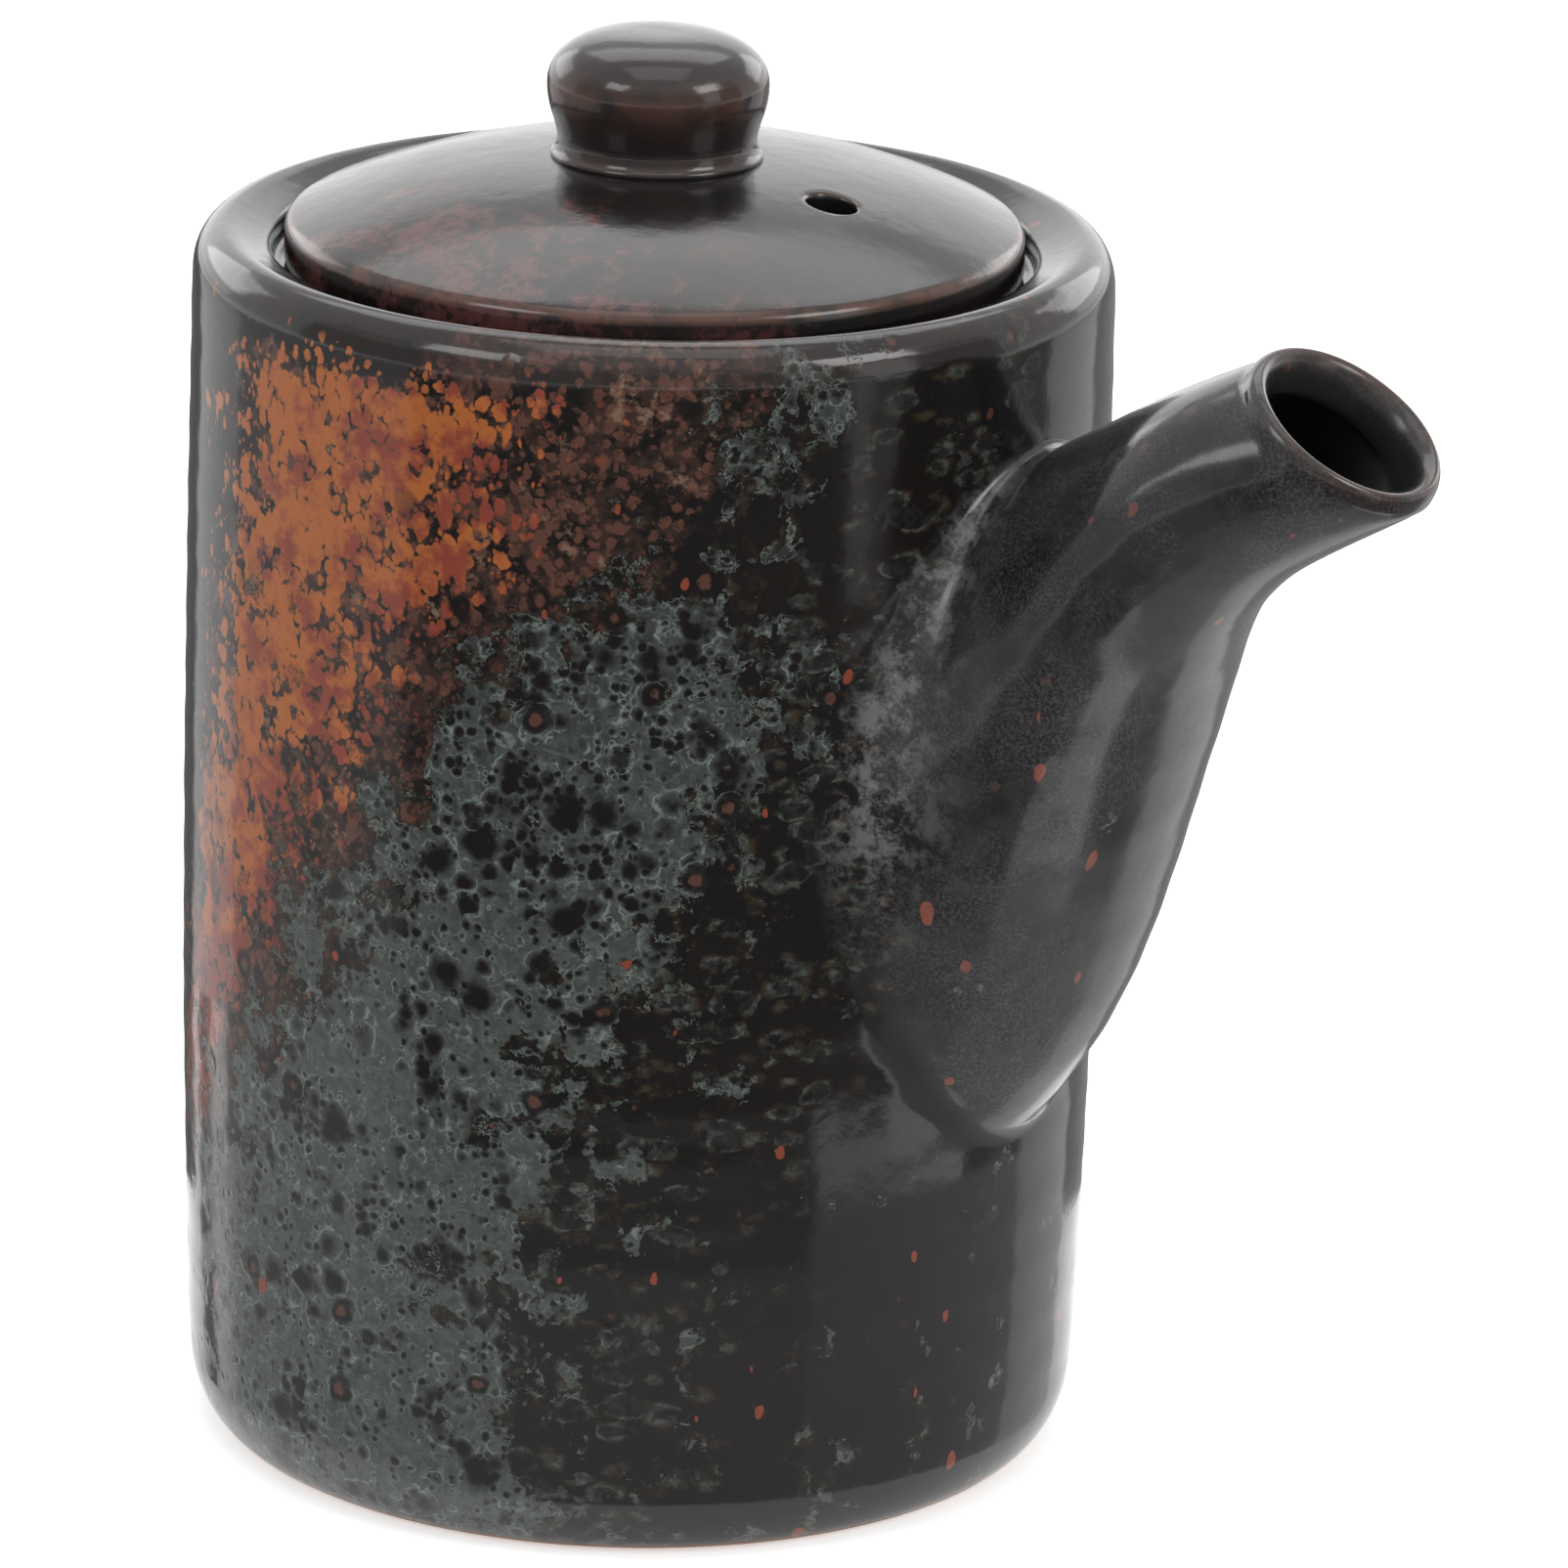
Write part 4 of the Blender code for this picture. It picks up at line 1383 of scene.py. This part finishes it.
@dataclass
class MushroomKnob:
    """The knob luted to the middle of the lid."""

    neck_radius: float = 8.7
    flare: float = 0.55
    neck_height: float = 1.6
    girth_height: float = 6.1
    fullness: float = 0.65
    sunk: float = 0.35
    columns: int = 128

    def __post_init__(self) -> None:
        """Takes the knob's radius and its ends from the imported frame."""
        low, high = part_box("lid_knob")
        self.radius = high.y / MM
        self.foot = low.z / MM
        self.top = high.z / MM

    def build(self) -> bpy.types.Object:
        """Builds the knob's skin.

        Returns:
            The piece, before its relief.
        """
        neck = self.foot + self.neck_height
        girth = self.foot + self.girth_height
        spread = self.neck_radius + self.flare
        path = Outline(0.0, self.foot - self.sunk)
        path.line(spread, self.foot - self.sunk, step=2.0)
        path.line(spread - 0.02, self.foot + 0.1, 0.0)
        for share in shares(5):
            flared = spread - self.flare * math.sin(share * math.pi / 2)
            height = self.foot + 0.1 + (self.neck_height - 0.1) * share**1.6
            path.point(flared, height, 0.2, 0.4 * (1 - share))
        swell = self.radius - self.neck_radius
        for share in shares(14):
            eased = self.neck_radius + swell * math.sin(share * math.pi / 2) ** 1.3
            path.point(eased, neck + (girth - neck) * share, 0.6, 0.5 * share**3)
        for share in shares(24):
            angle = share * math.pi / 2
            radius = self.radius * max(math.cos(angle), 0.0) ** self.fullness
            worn = 0.5 * max(0.0, 1 - share * 3)
            path.point(0.0 if share == 1 else radius, girth + (self.top - girth) * math.sin(angle), 0.6, worn)
        skin = Surface()
        skin.turn(path, self.columns)
        return skin.to_object("glazed_knob")

    def dress(self, piece: bpy.types.Object) -> None:
        """Glazes the knob and sets it on the lid's body in place of the CAD solid."""
        Throwing(ring_depth=0.015, swell_depth=0.08, swell_size=7.0, seed=12).shape(
            piece, LidGlaze("knob_glaze_fired", ground=tone(30, 24, 24), gloss=0.10).build()
        )
        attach(piece, Body.LID.value)
        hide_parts("lid_knob")


# ---------------------------------------------------------------- the studio


@dataclass(frozen=True)
class Softbox:
    """A soft rectangular light, placed by bearing from the front, elevation and distance."""

    name: str
    bearing: float
    elevation: float
    distance: float
    width: float
    height: float
    radiance: float


@dataclass(frozen=True)
class Card:
    """A card on the floor that only reflections see.

    It covers what the pot's wall mirrors between two bearings, from a near to a far reach.
    """

    name: str
    bearings: tuple[float, float]
    reach: tuple[float, float]
    radiance: float


@dataclass(frozen=True)
class Flag:
    """A standing dark screen that only reflections see, between two bearings and two elevations."""

    name: str
    bearings: tuple[float, float]
    elevations: tuple[float, float]
    radiance: float
    distance: float = 1500.0


@dataclass
class Studio:
    """A pale floor, soft lights, cards that shape the reflections, and the camera."""

    camera_distance: float = 842.1
    camera_height: float = 327.0
    yaw: float = 0.85
    pitch: float = 17.69
    roll: float = 1.54
    lens: float = 229.4
    floor_radius: float = 4.0
    floor_colour: Colour = (0.82, 0.82, 0.82)
    floor_glow: float = 0.45
    sky: float = 0.95
    pot_radius: float = 40.5
    aim_height: float = 0.06
    card_lift: float = 0.6
    lights: tuple[Softbox, ...] = (
        Softbox("overhead_box", 0.0, 82.0, 0.9, 0.6, 0.5, 0.8),
        Softbox("front_right_box", 58.0, 36.0, 0.9, 0.36, 0.26, 5.0),
        Softbox("front_right_low_box", 58.0, 13.0, 0.9, 0.26, 0.36, 1.0),
        Softbox("front_left_box", -50.0, 38.0, 0.9, 0.30, 0.22, 3.5),
        Softbox("back_top_box", 180.0, 56.0, 0.9, 0.8, 0.4, 1.5),
        Softbox("back_low_box", 180.0, 16.0, 0.9, 2.4, 0.5, 0.7),
        Softbox("back_left_box", -138.0, 20.0, 0.9, 0.5, 0.35, 1.6),
        Softbox("back_right_box", 138.0, 20.0, 0.9, 0.5, 0.35, 1.6),
    )
    cards: tuple[Card, ...] = (
        Card("left_limb_card", (-180.0, -153.0), (58.0, 900.0), 0.16),
        Card("left_pale_card", (-153.0, -124.0), (115.0, 900.0), 0.92),
        Card("left_gap_card", (-148.0, -138.0), (10.0, 115.0), 0.30),
        Card("left_low_card", (-128.0, -62.0), (10.0, 115.0), 0.55),
        Card("left_grey_card", (-124.0, -62.0), (115.0, 900.0), 0.55),
        Card("front_low_card", (-62.0, 46.0), (5.0, 64.0), 0.50),
        Card("front_middle_card", (-62.0, 46.0), (64.0, 100.0), 0.32),
        Card("front_card", (-62.0, 66.0), (100.0, 900.0), 0.14),
        Card("right_strip_card", (50.0, 66.0), (285.0, 900.0), 1.0),
        Card("right_card", (66.0, 91.0), (110.0, 900.0), 0.18),
        Card("right_low_card", (46.0, 116.0), (5.0, 85.0), 0.60),
        Card("right_grey_card", (91.0, 116.0), (85.0, 900.0), 0.30),
        Card("right_pale_card", (116.0, 145.0), (5.0, 900.0), 0.95),
        Card("right_limb_card", (145.0, 180.0), (60.0, 900.0), 0.34),
    )
    flags: tuple[Flag, ...] = (
        Flag("front_flag", (-95.0, 95.0), (0.0, 26.0), 0.45),
        Flag("front_high_flag", (-95.0, 95.0), (26.0, 38.0), 0.70),
    )

    def heading(self, bearing: float) -> Vector:
        """The level direction at a bearing from the front, towards the spout's side."""
        angle = math.radians(bearing - SPOUT_BEARING)
        return Vector((math.cos(angle), math.sin(angle), 0.0))

    def add_camera(self) -> None:
        """Places the camera in front of the pot, looking down at it."""
        spot = self.heading(0.0) * (self.camera_distance * MM)
        spot.z = self.camera_height * MM
        pitch, roll = math.radians(self.pitch), math.radians(self.roll)
        level = self.heading(180.0 - self.yaw)
        forward = level * math.cos(pitch) - Vector((0, 0, math.sin(pitch)))
        right = forward.cross(Vector((0, 0, 1))).normalized()
        above = right.cross(forward)
        turned = right * math.cos(roll) + above * math.sin(roll)
        upward = above * math.cos(roll) - right * math.sin(roll)
        camera = stand("camera", bpy.data.cameras.new("camera"))
        camera.data.lens = self.lens
        axes = Matrix((turned, upward, -forward)).transposed()
        camera.matrix_world = Matrix.Translation(spot) @ axes.to_4x4()
        bpy.context.scene.camera = camera

    def add_light(self, box: Softbox) -> None:
        """Hangs one softbox, facing the pot."""
        lamp = bpy.data.lights.new(box.name, "AREA")
        lamp.shape = "RECTANGLE"
        lamp.size, lamp.size_y = box.width, box.height
        lamp.energy = box.radiance * math.pi * box.width * box.height
        holder = stand(box.name, lamp)
        rise = math.radians(box.elevation)
        target = Vector((0, 0, self.aim_height))
        away = self.heading(box.bearing) * math.cos(rise) + Vector((0, 0, math.sin(rise)))
        holder.location = target + away * box.distance
        holder.rotation_euler = away.to_track_quat("Z", "Y").to_euler()

    def add_floor(self) -> None:
        """Lays the floor, a pale table lit a little from below."""
        mesh = bpy.data.meshes.new("floor")
        angles = np.linspace(0, math.tau, 97)[:-1]
        radius = self.floor_radius
        corners = [(math.cos(angle) * radius, math.sin(angle) * radius, 0.0) for angle in angles]
        mesh.from_pydata(corners, [], [range(len(corners))])
        floor = stand("floor", mesh)
        material, patch = begin_material("floor")
        matt = patch.add("ShaderNodeBsdfDiffuse", None, {"Color": self.floor_colour})
        glow = patch.add("ShaderNodeEmission", None, {"Color": WHITE, "Strength": self.floor_glow})
        shader = patch.add("ShaderNodeAddShader", None, {0: matt, 1: glow})
        patch.add("ShaderNodeOutputMaterial", None, {"Surface": shader})
        mesh.materials.append(material)

    def add_screen(self, name: str, rows: Sequence[Sequence[Vector]], radiance: float) -> None:
        """Adds a glowing strip that only reflections see.

        Args:
            name: its name.
            rows: its two long edges, in millimetres.
            radiance: how bright it looks.
        """
        count = len(rows[0])
        mesh = bpy.data.meshes.new(name)
        points = [point * MM for row in rows for point in row]
        mesh.from_pydata(points, [], [(k, k + count, k + count + 1, k + 1) for k in range(count - 1)])
        screen = stand(name, mesh)
        screen.visible_camera = False
        screen.visible_diffuse = False
        screen.visible_shadow = False
        material, patch = begin_material(name)
        glow = patch.add("ShaderNodeEmission", None, {"Color": WHITE, "Strength": radiance})
        patch.add("ShaderNodeOutputMaterial", None, {"Surface": glow})
        mesh.materials.append(material)

    def add_card(self, card: Card) -> None:
        """Lays one card just above the floor."""
        steps = np.linspace(*card.bearings, 25)
        above = Vector((0.0, 0.0, self.card_lift))
        rows = [
            [self.heading(step / 2) * self.pot_radius + self.heading(step) * reach + above for step in steps]
            for reach in card.reach
        ]
        self.add_screen(card.name, rows, card.radiance)

    def add_flag(self, flag: Flag) -> None:
        """Stands one flag round the pot."""
        steps = np.linspace(*flag.bearings, 33)
        heights = [flag.distance * math.tan(math.radians(elevation)) for elevation in flag.elevations]
        rows = [
            [self.heading(step) * flag.distance + Vector((0, 0, height)) for step in steps]
            for height in heights
        ]
        self.add_screen(flag.name, rows, flag.radiance)

    def build(self) -> None:
        """Sets the stage, its lights and the camera."""
        scene = bpy.context.scene
        scene.view_settings.view_transform = "Standard"
        world = bpy.data.worlds.new("studio")
        world.use_nodes = True
        patch = Patch(world.node_tree)
        glow = patch.add("ShaderNodeBackground", None, {"Color": WHITE, "Strength": self.sky})
        patch.add("ShaderNodeOutputWorld", None, {"Surface": glow})
        scene.world = world
        self.add_floor()
        for box in self.lights:
            self.add_light(box)
        for card in self.cards:
            self.add_card(card)
        for flag in self.flags:
            self.add_flag(flag)
        self.add_camera()


def report(piece: bpy.types.Object) -> None:
    """Logs a piece's name and its number of triangles."""
    triangles = sum(len(face.vertices) - 2 for face in piece.data.polygons)
    LOG.info("%s: %d triangles", piece.name, triangles)


def main() -> None:
    """Builds every piece, dresses it and reports it, then sets the studio."""
    logging.basicConfig(level=logging.INFO, format="%(name)s: %(message)s")
    pot = ThrownPot()
    for part in (pot, DomedLid(pot=pot), MushroomKnob()):
        piece = part.build()
        part.dress(piece)
        report(piece)
    Studio().build()


if __name__ == "__main__":
    main()
